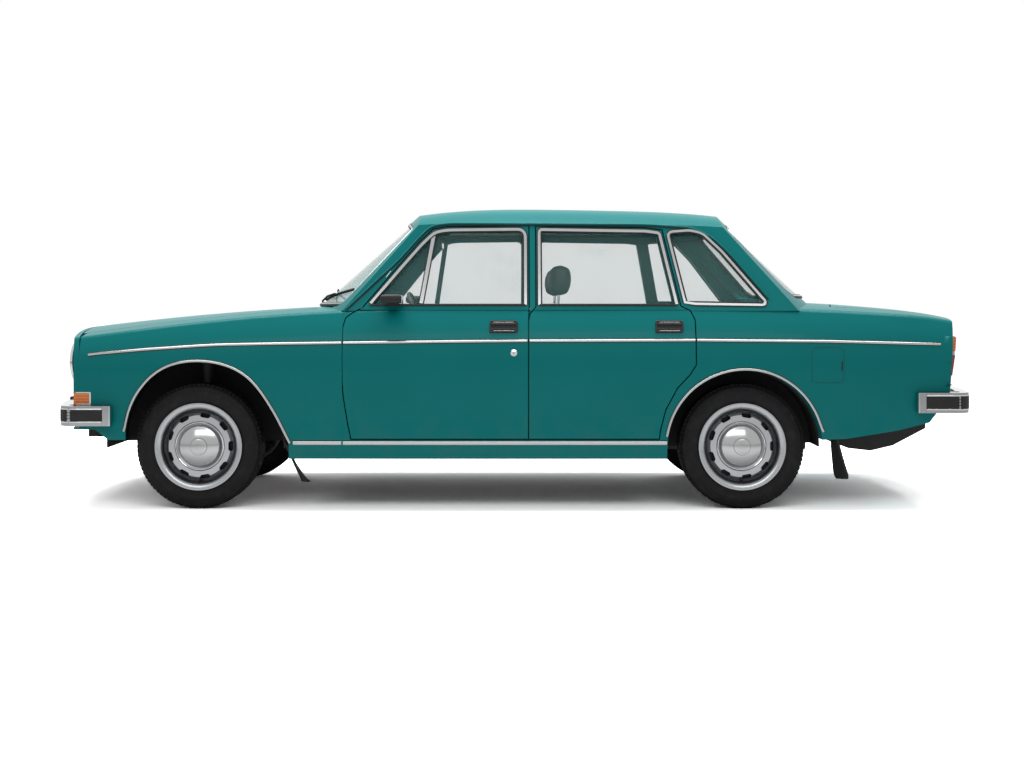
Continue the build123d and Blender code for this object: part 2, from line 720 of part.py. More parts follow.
def bumper_plan(tip, corner_x, corner_y, side_y, end_x, depth):
    """Plan of a bumper blade that wraps round the corners."""
    def line(inset):
        sign = 1 if end_x > tip else -1
        t = tip + sign * inset
        c = corner_x + sign * inset
        cy = corner_y - inset
        sy = side_y - inset
        k = corner_x + sign * 60
        return shape_of(
            ThreePointArc((c, -cy), (t, 0), (c, cy)),
            ThreePointArc((c, cy), ((c + k) / 2 - sign * 14, (cy + sy) / 2 + 12), (k + sign * inset * 0.3, sy)),
            Line((k + sign * inset * 0.3, sy), (end_x, sy)),
            Line((end_x, sy), (end_x, -sy)),
            Line((end_x, -sy), (k + sign * inset * 0.3, -sy)),
            ThreePointArc((k + sign * inset * 0.3, -sy), ((c + k) / 2 - sign * 14, -(cy + sy) / 2 - 12), (c, -cy)),
        )
    return line(0) - line(depth)


def front_bumper():
    plan = bumper_plan(front(-780), front(-668), 790, 872, front(-408), BUMPER_DEPTH)
    bracket = box(front(-780) + BUMPER_DEPTH - 2, front(-600), -BRACKET_Y - 25, -BRACKET_Y + 25, 424, 446)
    bracket = bracket - ends_solid(LAMP_PANEL)
    return upward(plan, BUMPER_LOW, BUMPER_HIGH) + bracket + right_of(bracket)


def rear_bumper():
    plan = bumper_plan(rear(1190), rear(1108), 790, 872, rear(844), BUMPER_DEPTH)
    bracket = box(rear(1000), rear(1190) - BUMPER_DEPTH + 6, -BRACKET_Y - 25, -BRACKET_Y + 25, 500, 560)
    bracket = bracket - ends_solid(-SEAT_GAP)
    return upward(plan, REAR_BUMPER_LOW, REAR_BUMPER_HIGH) + bracket + right_of(bracket)


def screens():
    """Windscreen, rear window and the two quarter panes."""
    skin = cabin_sides(10) - cabin_sides(10 + GLASS)
    fore = skin & lengthwise(screen_face(-SEAT_GAP), front(300), front(1300))
    aft = skin & lengthwise(back_face(-SEAT_GAP), rear(-300), rear(600))
    pane = (cabin_core(12) - cabin_core(12 + GLASS)) & across(offset(quarter_window(), -SEAT_GAP), -FAR, 0)
    return [fore, aft] + both(pane)


def front_seats():
    cushion = box(front(1230), front(1740), -SEAT_Y - 250, -SEAT_Y + 250, 400, 560)
    runner = box(front(1300), front(1680), -SEAT_Y - 200, -SEAT_Y - 170, FLOOR + FLOOR_THICK + SEAT_GAP, 400)
    runner2 = box(front(1300), front(1680), -SEAT_Y + 170, -SEAT_Y + 200, FLOOR + FLOOR_THICK + SEAT_GAP, 400)
    back = across(polygon((front(1640), 540), (front(1760), 520), (front(1850), 1035), (front(1770), 1045)), -SEAT_Y - 240, -SEAT_Y + 240)
    head = across(rounded(polygon((front(1752), 1066), (front(1838), 1070), (front(1850), 1210), (front(1768), 1214)), 20),
                  -SEAT_Y - 140, -SEAT_Y + 140)
    posts = [box(front(1800), front(1812), -SEAT_Y + dy - 6, -SEAT_Y + dy + 6, 1030, 1080) for dy in (-60, 60)]
    seat = cushion + runner + runner2 + back + head
    for post in posts:
        seat = seat + post
    return both(seat)


def rear_bench():
    half = REAR_HOUSE_INNER - 8
    cushion = box(rear(-640), rear(-413), -700, 700, FLOOR + FLOOR_THICK + SEAT_GAP, 560)
    cushion = cushion + box(rear(-413), rear(-150), -half, half, BOOT_FLOOR + SEAT_GAP, 560)
    back = across(polygon((rear(-170), BOOT_FLOOR + SEAT_GAP), (rear(-40), BOOT_FLOOR + SEAT_GAP), (rear(60), 1000), (rear(-50), 1000)), -half, half)
    hump = rod_along_x(rear(-700), rear(-400), 0, FLOOR, TUNNEL + SEAT_GAP)
    return cushion - hump + back


def rear_deck(body):
    """Parcel shelf and the panel between rear window and boot lid."""
    side = CENTRE_STRIP - SEAT_GAP
    shelf = box(rear(62), rear(190) - SEAT_GAP, -690, 690, 985, 997)
    shelf = shelf + box(rear(180), rear(194), -side, side, 985, 997)
    deck = body.low & box(rear(195), rear(600), -side, side, 900, TOP)
    deck = deck - body.low_lid - upward(boot_outline(SHUT_GAP), 600, TOP)
    web = box(rear(190), rear(200), -side, side, 985, 1012)
    hinge = box(rear(440), rear(515), -460, -430, 980, 995) - upward(boot_outline(SEAT_GAP), 600, TOP)
    return shelf + deck + web + hinge + right_of(hinge)


def dashboard(gap=0.0):
    x0 = FIREWALL + 12 + SEAT_GAP
    profile = polygon((x0, 700), (front(930), 690), (front(1010), 760), (front(1030), 930), (front(960), 975), (x0, 975))
    profile = rounded(profile, 12)
    return across(offset(profile, gap) if gap else profile, -740, 740) & cabin_space()


def steering_wheel():
    tilt = 28
    ring = Torus(190, 13)
    hub = Cylinder(42, 40)
    spokes = Box(380, 34, 10)
    column = Pos(0, 0, 170) * Cylinder(22, 300)
    wheel = ring + hub + spokes + column
    placed = Pos(front(1110), -SEAT_Y, 900) * Rot(0, -90 - tilt, 0) * Rot(0, 0, 90) * wheel
    return placed - dashboard(SEAT_GAP)


def wheel(sign):
    """Steel wheel: barrel, slotted dish and domed hub cap, axis along Y."""
    half = RIM_WIDTH / 2
    r = RIM_SEAT_RADIUS
    profile = polygon(
        (RIM_RADIUS, half), (RIM_RADIUS - 5, half + 3), (r - 4, half - 8), (r - 30, 20), (r - 30, -30), (r - 4, -half + 8),
        (RIM_RADIUS - 5, -half - 3), (RIM_RADIUS, -half), (r, -half + 12), (r, -half + 34), (r - 22, -24), (r - 22, 18), (r, half - 34),
        (r, half - 12),
    )
    barrel = revolve(Plane.XZ * profile, Axis.Z)
    dish = revolve(Plane.XZ * polygon(
        (HUB_BORE_RADIUS, 36), (100, 36), (125, 50), (154, 48), (r - 28, 14), (r - 28, 4), (154, 38), (125, 40), (100, 26),
        (HUB_BORE_RADIUS, 26)), Axis.Z)
    slot = Pos(SLOT_CIRCLE, 0, 0) * extrude(Rot(0, 0, 90) * SlotOverall(SLOT_LENGTH, SLOT_WIDTH), amount=90)
    for index in range(SLOT_COUNT):
        dish = dish - Rot(0, 0, index * 360 / SLOT_COUNT) * slot
    cap = Pos(0, 0, CAP_BASE) * Cylinder(CAP_RADIUS, CAP_TOP - CAP_BASE, align=(Align.CENTER, Align.CENTER, Align.MIN))
    dome = (CAP_RADIUS ** 2 + CAP_RISE ** 2) / (2 * CAP_RISE)
    cap = cap & Pos(0, 0, CAP_TOP - dome) * Sphere(dome)
    body = barrel + dish + cap
    return place_wheel(body, sign)


def place_wheel(shape, sign):
    """Turns a wheel drawn about Z so that its outer face looks sideways, at the front left hub."""
    turned = Rot(90, 0, 0) * shape
    turned = Pos(FRONT_AXLE, -WHEEL_Y, HUB_HEIGHT) * turned
    return turned if sign < 0 else right_of(turned)


def tyre(sign):
    half = TYRE_WIDTH / 2
    r = RIM_SEAT_RADIUS + SEAT_GAP
    profile = polygon(
        (TYRE_RADIUS, 58), (TYRE_RADIUS, -58), (TYRE_RADIUS - 16, -72), (265, -half), (RIM_RADIUS + 4, -72), (r, -60),
        (r, 60), (RIM_RADIUS + 4, 72), (265, half), (TYRE_RADIUS - 16, 72),
    )
    return place_wheel(revolve(Plane.XZ * profile, Axis.Z), sign)


def knuckle():
    """Upright with stub, brake disc and steering arm, about the front left hub."""
    hub = Pos(FRONT_AXLE, -WHEEL_Y, HUB_HEIGHT)
    def turned(r, y0, y1):
        return hub * Pos(0, y1, 0) * Rot(90, 0, 0) * Cylinder(r, y1 - y0, align=(Align.CENTER, Align.CENTER, Align.MIN))
    stub = turned(HUB_BORE_RADIUS - SEAT_GAP, -34, 0)
    flange = turned(62, -25.5, -14)
    disc = turned(130, 0, 22)
    boss = turned(45, -14, 80)
    upright = box(FRONT_AXLE - 30, FRONT_AXLE + 30, -WHEEL_Y + 40, -WHEEL_Y + 80, HUB_HEIGHT - 90, HUB_HEIGHT + 70)
    arm = box(FRONT_AXLE + 20, FRONT_AXLE + 150, -WHEEL_Y + 50, -WHEEL_Y + 80, HUB_HEIGHT - 60, HUB_HEIGHT - 36)
    return stub + flange + disc + boss + upright + arm


def crossmember(body):
    beam = box(FRONT_AXLE - 60, FRONT_AXLE + 60, -400, 400, 235, 300)
    parts = beam + box(FRONT_AXLE - 50, FRONT_AXLE + 50, -400, -335, 300, 330 - SEAT_GAP) + box(FRONT_AXLE - 50, FRONT_AXLE + 50, 335, 400, 300, 330 - SEAT_GAP)
    for sign in (-1, 1):
        arm = box(FRONT_AXLE - 22, FRONT_AXLE + 22, *sorted((sign * 400, sign * 630)), 182, HUB_HEIGHT - 90 - SEAT_GAP)
        link = box(FRONT_AXLE - 22, FRONT_AXLE + 22, *sorted((sign * 398, sign * 420)), 182, 260)
        height = HUB_HEIGHT + FRONT_HOUSE - STRUT_DROP - 190
        strut = Cylinder(30, height, align=(Align.CENTER, Align.CENTER, Align.MIN))
        parts = parts + arm + link + Pos(FRONT_AXLE, sign * 530, 190) * strut
    return parts


def rear_axle():
    y = WHEEL_Y
    tube = Pos(REAR_AXLE, y - 14, HUB_HEIGHT) * Rot(90, 0, 0) * Cylinder(38, 2 * (y - 14), align=(Align.CENTER, Align.CENTER, Align.MIN))
    housing = Pos(REAR_AXLE, 0, HUB_HEIGHT) * Sphere(120)
    out = tube + housing
    for sign in (-1, 1):
        hub = Pos(REAR_AXLE, 0, HUB_HEIGHT)
        def turned(r, y0, y1):
            c = hub * Pos(0, y1, 0) * Rot(90, 0, 0) * Cylinder(r, y1 - y0, align=(Align.CENTER, Align.CENTER, Align.MIN))
            return c if sign < 0 else right_of(c)
        out = out + turned(HUB_BORE_RADIUS - SEAT_GAP, -y - 34, -y) + turned(62, -y - 25.5, -y + 30) + turned(130, -y, -y + 40)
        spring = box(REAR_AXLE + 60, REAR_AXLE + 150, *sorted((sign * 400, sign * 490)), 330, BOOT_FLOOR - FLOOR_THICK - SEAT_GAP)
        link = box(REAR_AXLE - 400 + SEAT_GAP, REAR_AXLE + 150, *sorted((sign * 420, sign * 470)), 285, 335)
        out = out + spring + link
    return out


def engine():
    block = box(front(-200), front(420), -150, 150, 330, 800)
    foot = box(front(-40), front(40), -240, 240, 300 + SEAT_GAP, 380)
    return block + foot


def driveline():
    gearbox = box(front(420 + SEAT_GAP), front(1000), -80, 80, 240, 355)
    x0, x1 = front(1000), rear(-120 - SEAT_GAP)
    shaft = Pos(x0, 0, HUB_HEIGHT) * Rot(0, 90, 0) * Cylinder(32, x1 - x0, align=(Align.CENTER, Align.CENTER, Align.MIN))
    return gearbox + shaft


def exhaust():
    y = 230
    pipe = Pos(front(900), y, 225) * Rot(0, 90, 0) * Cylinder(24, rear(500) - front(900), align=(Align.CENTER, Align.CENTER, Align.MIN))
    box_mid = box(front(1500), front(1950), y - 90, y + 90, 170, FLOOR - SEAT_GAP)
    return pipe + box_mid


def fuel_tank():
    """Tank under the boot floor, deepest just behind the axle."""
    top = BOOT_FLOOR - FLOOR_THICK - SEAT_GAP
    side_view = polygon(
        (rear(440), 330), (rear(600), 270), (rear(715), 257), (rear(830), 284), (rear(1000), 374),
        (rear(1000), 420), (TAIL_SEAM - SHUT_GAP, 424), (TAIL_SEAM - SHUT_GAP, top), (rear(440), top),
    )
    return across(side_view, -TANK_HALF, TANK_HALF)


def mudflaps():
    fore = box(front(FRONT_HOUSE), front(FRONT_HOUSE + 6), -825, -690, 134, HUB_HEIGHT - SEAT_GAP)
    aft = box(rear(456), rear(464), -820, -680, 150, 353.5)
    return both(fore) + both(aft)


def door_mirror(body):
    """Door mirror on a short foot at the vent window."""
    head = Box(104, 118, 44)
    head = fillet(head.edges(), 16)
    head = Pos(front(968), -862, 1043) * head
    foot = box(front(940), front(1000), -812, -766, 1006, 1040)
    return head + (foot - body.top)


def main():
    os.makedirs("parts", exist_ok=True)
    body = Body()
    front_door, rear_door = front_door_outline(), rear_door_outline()
    side = body_side(body)
    wing_left = wing(body)
    doors = {"door_front": door(body, front_door), "door_rear": door(body, rear_door)}
    panes = {"glass_front": door_glass(front_door), "glass_rear": door_glass(rear_door)}
    nodes = {
        "body_side_left": side,
        "body_side_right": right_of(side),
        "wing_left": wing_left,
        "wing_right": right_of(wing_left),
        "roof": roof(body),
        "bonnet": bonnet(body),
        "boot_lid": boot_lid(body),
        "cowl": cowl(body),
        "floor_pan": floor_pan(body),
        "front_panel": front_panel(body),
        "grille": grille(),
        "rear_panel": rear_panel(body),
        "headlamps": headlamps(),
        "tail_lamps": tail_lamps(body),
        "indicators": indicators(body),
        "front_bumper": front_bumper(),
        "rear_bumper": rear_bumper(),
        "screens": screens(),
        "front_seats": front_seats(),
        "rear_bench": rear_bench(),
        "rear_deck": rear_deck(body),
        "dashboard": dashboard(),
        "steering_wheel": steering_wheel(),
        "knuckle_left": knuckle(),
        "knuckle_right": right_of(knuckle()),
        "crossmember": crossmember(body),
        "rear_axle": rear_axle(),
        "engine": engine(),
        "driveline": driveline(),
        "exhaust": exhaust(),
        "fuel_tank": fuel_tank(),
        "mudflaps": mudflaps(),
        "mirror_left": door_mirror(body),
        "mirror_right": right_of(door_mirror(body)),
    }
    for name, piece in {**doors, **panes}.items():
        nodes[f"{name}_left"] = piece
        nodes[f"{name}_right"] = right_of(piece)
    for end, distance in (("front", 0.0), ("rear", WHEELBASE)):
        for name, sign in (("left", -1), ("right", 1)):
            nodes[f"wheel_{end}_{name}"] = Pos(distance, 0, 0) * wheel(sign)
            nodes[f"tyre_{end}_{name}"] = Pos(distance, 0, 0) * tyre(sign)
    for name, piece in nodes.items():
        if isinstance(piece, list):
            piece = Compound(children=[solid for part in piece for solid in part.solids()])
        export_step(piece, f"parts/{name}.step")


if __name__ == "__main__":
    main()
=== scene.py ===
"""Looks of a four-door family sedan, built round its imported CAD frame. Metres; the nose points to -X."""

import math

import bmesh
import bpy
from mathutils import Matrix, Vector
from mathutils.bvhtree import BVHTree


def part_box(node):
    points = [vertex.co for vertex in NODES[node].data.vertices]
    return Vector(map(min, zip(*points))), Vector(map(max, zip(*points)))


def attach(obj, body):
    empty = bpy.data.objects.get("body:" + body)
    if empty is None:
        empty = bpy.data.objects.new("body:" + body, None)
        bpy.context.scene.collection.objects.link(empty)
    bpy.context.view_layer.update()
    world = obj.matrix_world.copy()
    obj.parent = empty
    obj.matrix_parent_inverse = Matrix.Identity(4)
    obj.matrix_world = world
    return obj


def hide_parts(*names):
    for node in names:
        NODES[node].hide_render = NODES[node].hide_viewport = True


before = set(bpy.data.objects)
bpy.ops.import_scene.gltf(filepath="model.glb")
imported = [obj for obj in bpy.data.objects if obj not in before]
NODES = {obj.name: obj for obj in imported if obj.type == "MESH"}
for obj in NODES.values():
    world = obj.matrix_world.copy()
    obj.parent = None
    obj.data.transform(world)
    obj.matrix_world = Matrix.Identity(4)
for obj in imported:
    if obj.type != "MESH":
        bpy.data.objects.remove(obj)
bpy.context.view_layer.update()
HANDS = (("left", -1), ("right", 1))

FRONT_AXLE = -1.555
REAR_AXLE = 1.145
TRACK_HALF = 0.675
HUB_HEIGHT = 0.31


def front(mm):
    """X of a point so many millimetres behind the front axle."""
    return FRONT_AXLE + mm / 1000


def rear(mm):
    """X of a point so many millimetres behind the rear axle."""
    return REAR_AXLE + mm / 1000


def pairs(*values):
    """Millimetres, two by two, as pairs in metres."""
    return [(a / 1000, b / 1000) for a, b in zip(values[::2], values[1::2])]


# Shader wiring

def feed(tree, socket, value):
    """Links a socket to another one, or sets it to a value."""
    if isinstance(value, bpy.types.NodeSocket):
        tree.links.new(value, socket)
    elif isinstance(value, tuple) and len(value) == 3 and socket.type == "RGBA":
        socket.default_value = (*value, 1.0)
    else:
        socket.default_value = value


def add_node(tree, kind, values=None, **settings):
    """Adds a node to a tree, sets it up and returns its output sockets."""
    made = tree.nodes.new(kind)
    for name, value in settings.items():
        setattr(made, name, value)
    for name, value in (values or {}).items():
        feed(tree, made.inputs[name], value)
    return made.outputs


def stand(name, data):
    """Puts a new object with this data into the scene."""
    made = bpy.data.objects.new(name, data)
    bpy.context.scene.collection.objects.link(made)
    return made


class Field:
    """A shader socket that is added, multiplied and raised like a number."""

    def __init__(self, finish, socket):
        self.finish = finish
        self.socket = socket

    def maths(self, operation, *values):
        return self.finish.node("ShaderNodeMath", dict(enumerate(values)), operation=operation)

    def __add__(self, other):
        return self.maths("ADD", self, other)

    def __rsub__(self, other):
        return self.maths("SUBTRACT", other, self)

    def __mul__(self, other):
        return self.maths("MULTIPLY", self, other)

    def __pow__(self, other):
        return self.maths("POWER", self, other)

    __radd__ = __add__
    __rmul__ = __mul__

    def wave(self):
        return self.maths("SINE", self)

    def rise(self, low, high):
        """0 below low, 1 above high, smooth between them."""
        limits = {"Value": self, "From Min": low, "From Max": high}
        return self.finish.node("ShaderNodeMapRange", limits, interpolation_type="SMOOTHSTEP")


class Finish:
    """One procedural material while it is being wired."""

    def __init__(self, name):
        self.material = bpy.data.materials.new(name)
        self.material.use_nodes = True
        self.tree = self.material.node_tree
        self.tree.nodes.clear()
        self.surface = self.tree.nodes.new("ShaderNodeBsdfPrincipled")
        add_node(self.tree, "ShaderNodeOutputMaterial", {"Surface": self.surface.outputs[0]})
        self.place = self.node("ShaderNodeTexCoord", output="Object")

    def node(self, kind, values=None, output=0, **settings):
        sockets = {name: getattr(value, "socket", value) for name, value in (values or {}).items()}
        return Field(self, add_node(self.tree, kind, sockets, **settings)[output])

    def axis(self, name):
        return self.node("ShaderNodeSeparateXYZ", {"Vector": self.place}, name)

    def cloud(self, scale, detail=3.0, stretch=None):
        """Soft noise from 0 to 1, with its grain running along an axis where stretch is given."""
        place = self.place
        if stretch:
            place = self.node("ShaderNodeVectorMath", {0: place, 1: stretch}, operation="MULTIPLY")
        return self.node("ShaderNodeTexNoise", {"Vector": place, "Scale": scale, "Detail": detail})

    def cells(self, scale):
        return self.node("ShaderNodeTexVoronoi", {"Vector": self.place, "Scale": scale}, "Distance")

    def blend(self, share, low, high):
        """Colour low where share is 0 and high where it is 1."""
        return self.node("ShaderNodeMix", {"Factor": share, 6: low, 7: high}, 2, data_type="RGBA")

    def relief(self, height, distance, strength):
        return self.node("ShaderNodeBump", {"Height": height, "Distance": distance, "Strength": strength})

    def done(self, **sockets):
        for name, value in sockets.items():
            feed(self.tree, self.surface.inputs[name.replace("_", " ")], getattr(value, "socket", value))
        return self.material


# Finishes

LENS_RIBS = 420.0


def teal_paint():
    """Solid colour under a thin clear coat, paler and rougher towards the sills: a little dust, with the
    paleness also a painted reflection of the floor.
    """
    f = Finish("teal_paint")
    tone = f.cloud(3.0)
    grain = f.cloud(420.0, 2.0)
    # Paler towards the sills: partly dust, partly a painted reflection of the floor.
    dust = (1 - f.axis("Z").rise(0.26, 0.62)) * f.cloud(9.0, 5.0).rise(0.35, 0.75) * 0.2
    paint = f.blend(tone, (0.0012, 0.112, 0.113), (0.0018, 0.126, 0.127))
    peel = f.relief(f.cloud(260.0, 1.0), 0.0001, 0.3)
    return f.done(
        Base_Color=f.blend(dust, paint, (0.06, 0.12, 0.115)),
        Roughness=0.3 + grain * 0.06 + dust * 0.9,
        Normal=peel, Specular_IOR_Level=0.06, Coat_Weight=0.06 - dust * 0.3, Coat_Roughness=0.12,
    )


def bright_metal(name, colour, rough, marks=0.1):
    """Plated or polished metal with fine wiping marks and a few dull spots."""
    f = Finish(name)
    wiping = f.cloud(60.0, 4.0, (1.0, 14.0, 14.0))
    spots = f.cells(90.0).rise(0.02, 0.1)
    return f.done(
        Base_Color=f.blend(spots, tuple(c * 0.72 for c in colour), colour), Metallic=1.0,
        Roughness=rough + wiping.rise(0.45, 0.8) * marks + (1 - spots) * 0.12,
        Normal=f.relief(f.cloud(700.0, 2.0), 0.00002, 0.3),
    )


def moulded(name, colour, rough, grain=900.0, depth=0.00012, dust=0.08):
    """Grained plastic or rubber, paler where dust stays."""
    f = Finish(name)
    wear = f.cloud(14.0, 5.0).rise(0.45, 0.8) * dust
    pale = tuple(min(1.0, c * 2.2 + 0.05) for c in colour)
    return f.done(
        Base_Color=f.blend(wear, colour, pale), Roughness=rough + wear * 0.8,
        Normal=f.relief(f.cells(grain), depth, 0.5), Specular_IOR_Level=0.22,
    )


def coated(name, colour, rough, spot=(0.1, 0.075, 0.05), share=0.35):
    """Chassis paint with road dirt and a little rust in patches."""
    f = Finish(name)
    dirt = f.cloud(7.0, 6.0).rise(0.52, 0.78) * share
    rust = f.cloud(31.0, 6.0).rise(0.66, 0.8) * share * 0.8
    under = f.blend(dirt, colour, spot)
    return f.done(
        Base_Color=f.blend(rust, under, (0.16, 0.055, 0.02)), Roughness=rough + dirt * 0.25 + rust * 0.2,
        Normal=f.relief(f.cloud(180.0, 4.0), 0.0004, 0.5), Specular_IOR_Level=0.2,
    )


def pane(name, colour, alpha, smear=0.05):
    """Clear glass or lens with a faint film of dust."""
    f = Finish(name)
    film = f.cloud(5.0, 5.0).rise(0.5, 0.9) * smear
    slant = f.node("ShaderNodeLayerWeight", {"Blend": 0.5}, "Facing") ** 3.0
    return f.done(
        Base_Color=f.blend(film, colour, (0.55, 0.58, 0.57)), Roughness=0.02 + film * 1.2,
        Alpha=alpha + film + slant * 0.35, Specular_IOR_Level=0.55,
    )


def lens(name, colour, rib_trough_shade):
    """Ribbed lamp glass, with painted shade in a deeper colour between its ribs."""
    f = Finish(name)
    rib = (f.axis("Z") * LENS_RIBS).wave() * 0.5 + 0.5
    tiles = f.cells(160.0)
    # Darker colour where the ribs' bump is low: painted shade between the ribs.
    return f.done(
        Base_Color=f.blend(rib * 0.6 + tiles * 0.3, rib_trough_shade, colour), Roughness=0.1 + tiles * 0.1,
        Normal=f.relief(rib, 0.001, 0.5), Coat_Weight=0.5,
        Emission_Color=f.blend(rib, rib_trough_shade, colour), Emission_Strength=0.1,
    )


def weave(name, low, high, pitch=0.0022):
    """Plain woven cloth, its threads passing over and under, with painted shade where they pass under."""
    f = Finish(name)
    run = 2 * math.pi / pitch
    over = (f.axis("Y") * run).wave() * (f.axis("X") * run + f.axis("Z") * run).wave() * 0.5 + 0.5
    fuzz = f.cloud(60.0, 4.0)
    # Colour follows the threads' bump, darker where they pass under: painted shade.
    return f.done(
        Base_Color=f.blend(over * 0.6 + fuzz * 0.4, low, high), Roughness=0.82 + fuzz * 0.12,
        Normal=f.relief(over + fuzz * 0.3, 0.0006, 0.7), Sheen_Weight=0.15,
    )


def hide(name, colour, rough=0.42):
    """Grained leathercloth with creases, rubbed high spots, and painted shade in the pits of its grain."""
    f = Finish(name)
    pores = f.cells(520.0)
    crease = f.cloud(24.0, 6.0, (1.0, 2.2, 1.0))
    rubbed = crease.rise(0.55, 0.8)
    pale = tuple(min(1.0, c * 1.7 + 0.02) for c in colour)
    # Paler on the rubbed high spots, which is wear; darker in the pits of the grain, which is painted shade.
    return f.done(
        Base_Color=f.blend(rubbed * 0.4 + pores * 0.2, colour, pale), Roughness=rough + crease * 0.18,
        Normal=f.relief(pores * 0.6 + crease, 0.0009, 0.55),
    )


def tyre_rubber():
    """Dusty tyre rubber with fine pores."""
    f = Finish("tyre_rubber")
    wear = f.cloud(26.0, 5.0).rise(0.45, 0.8) * 0.5
    return f.done(
        Base_Color=f.blend(wear, (0.008, 0.008, 0.009), (0.026, 0.025, 0.024)), Roughness=0.66 + wear * 0.25,
        Normal=f.relief(f.cells(800.0) + f.cloud(90.0, 4.0), 0.0003, 0.5), Specular_IOR_Level=0.14,
    )


def blank_plate():
    """Reflective plate sheet with nothing on it."""
    f = Finish("blank_plate")
    grime = f.cloud(20.0, 5.0).rise(0.5, 0.85)
    return f.done(
        Base_Color=f.blend(grime * 0.35, (0.62, 0.63, 0.61), (0.36, 0.35, 0.32)),
        Roughness=0.34 + grime * 0.3,
        Normal=f.relief(f.cells(1400.0), 0.00005, 0.4),
    )


PAINT = teal_paint()
CHROME = bright_metal("chrome_plate", (0.55, 0.56, 0.57), 0.07)
TRIM_STEEL = bright_metal("polished_trim", (0.38, 0.39, 0.39), 0.16)
RING_STEEL = bright_metal("ring_steel", (0.34, 0.35, 0.36), 0.24, 0.12)
WHEEL_SILVER = bright_metal("wheel_silver", (0.36, 0.37, 0.38), 0.34, 0.08)
ALLOY = bright_metal("cast_alloy", (0.45, 0.45, 0.44), 0.42, 0.15)
RUBBER = moulded("black_rubber", (0.012, 0.012, 0.013), 0.58)
PLASTIC = moulded("black_plastic", (0.014, 0.014, 0.015), 0.4, 1200.0)
SEAL = moulded("window_seal", (0.01, 0.01, 0.011), 0.5, 700.0, 0.00006, 0.04)
UNDERBODY = coated("underbody_coat", (0.012, 0.012, 0.012), 0.7)
CHASSIS = coated("chassis_black", (0.02, 0.02, 0.021), 0.45)
CASTING = coated("cast_iron", (0.06, 0.062, 0.064), 0.6, share=0.5)
ENGINE_RED = coated("engine_enamel", (0.2, 0.018, 0.012), 0.4, share=0.25)
PIPE = coated("exhaust_steel", (0.16, 0.15, 0.14), 0.45, (0.12, 0.07, 0.04), 0.8)
WINDOW = pane("window_glass", (0.14, 0.29, 0.27), 0.115)
LAMP_GLASS = pane("lamp_glass", (0.75, 0.78, 0.78), 0.22, 0.03)
AMBER = lens("amber_lens", (0.62, 0.185, 0.005), (0.34, 0.055, 0.002))
RED = lens("ruby_lens", (0.36, 0.008, 0.008), (0.1, 0.003, 0.004))
WHITE_LENS = lens("white_lens", (0.72, 0.72, 0.7), (0.45, 0.45, 0.44))
CLOTH = weave("seat_cloth", (0.01, 0.013, 0.016), (0.04, 0.046, 0.052))
TEAL_CLOTH = weave("rear_cloth", (0.01, 0.06, 0.066), (0.02, 0.115, 0.12))
VINYL = hide("black_vinyl", (0.013, 0.013, 0.014))
LINING = hide("pale_headlining", (0.42, 0.42, 0.39), 0.6)
CARPET = weave("floor_carpet", (0.008, 0.01, 0.012), (0.035, 0.04, 0.042), 0.006)
TYRE = tyre_rubber()
PLATE = blank_plate()


DRESS = (
    (PAINT, ("body_side", "wing", "roof", "bonnet", "boot_lid", "cowl", "door_")),
    (PAINT, ("front_panel", "rear_panel", "rear_deck")),
    (UNDERBODY, ("floor_pan",)),
    (PLASTIC, ("mirror_",)),
    (CHASSIS, ("crossmember", "rear_axle", "driveline", "fuel_tank")),
    (CHROME, ("grille", "front_bumper", "rear_bumper")),
    (WINDOW, ("screens", "glass_")),
    (LAMP_GLASS, ("headlamps",)),
    (AMBER, ("indicators",)),
    (RED, ("tail_lamps",)),
    (VINYL, ("front_seats", "dashboard", "steering_wheel")),
    (TEAL_CLOTH, ("rear_bench",)),
    (CASTING, ("knuckle",)),
    (ENGINE_RED, ("engine",)),
    (PIPE, ("exhaust",)),
    (WHEEL_SILVER, ("wheel_",)),
    (TYRE, ("tyre_",)),
)
for finish, first_letters in DRESS:
    for name, node in NODES.items():
        if name.startswith(first_letters):
            node.data.materials.clear()
            node.data.materials.append(finish)


# The studio

LENS_PX = 1507.0
PICTURE_PX = 1024.0
SHIFT_PX = (-2.0, -82.0)
CAMERA_PLACE = (front(1566.7), -8.235, 1.0282)
AIR_UNSEEN, AIR_SEEN = 0.5, 1.0
FLOOR_UNSEEN, FLOOR_SEEN = 0.8, 2.3
FLOOR_REACH = 60.0
LIGHTS = (
    ("overhead_light", (0.0, 0.0, 4.6), 0.0, (7.0, 2.6), 430.0),
    ("side_light", (-0.5, -5.5, 3.9), math.radians(58), (7.0, 1.6), 100.0),
)


def set_camera():
    """Camera square to the car's left side, as fitted to the photo."""
    data = bpy.data.cameras.new("camera")
    data.sensor_width = 36.0
    data.lens = LENS_PX * data.sensor_width / PICTURE_PX
    data.shift_x, data.shift_y = SHIFT_PX[0] / PICTURE_PX, SHIFT_PX[1] / PICTURE_PX
    data.clip_end = 200.0
    camera = stand("camera", data)
    camera.location = CAMERA_PLACE
    camera.rotation_euler = (math.pi / 2, 0.0, 0.0)
    bpy.context.scene.camera = camera


def set_air():
    """White air that lights the car less than it shows."""
    world = bpy.data.worlds.new("studio_air")
    world.use_nodes = True
    tree = world.node_tree
    tree.nodes.clear()
    rays = add_node(tree, "ShaderNodeLightPath")
    seen = rays["Is Camera Ray"]
    for kind in ("Is Glossy Ray", "Is Transmission Ray"):
        seen = add_node(tree, "ShaderNodeMath", {0: seen, 1: rays[kind]}, operation="MAXIMUM")[0]
    level = add_node(tree, "ShaderNodeMapRange", {"Value": seen, "To Min": AIR_UNSEEN, "To Max": AIR_SEEN})
    air = add_node(tree, "ShaderNodeBackground", {"Color": (1.0, 1.0, 1.0), "Strength": level[0]})
    add_node(tree, "ShaderNodeOutputWorld", {"Surface": air[0]})
    bpy.context.scene.world = world


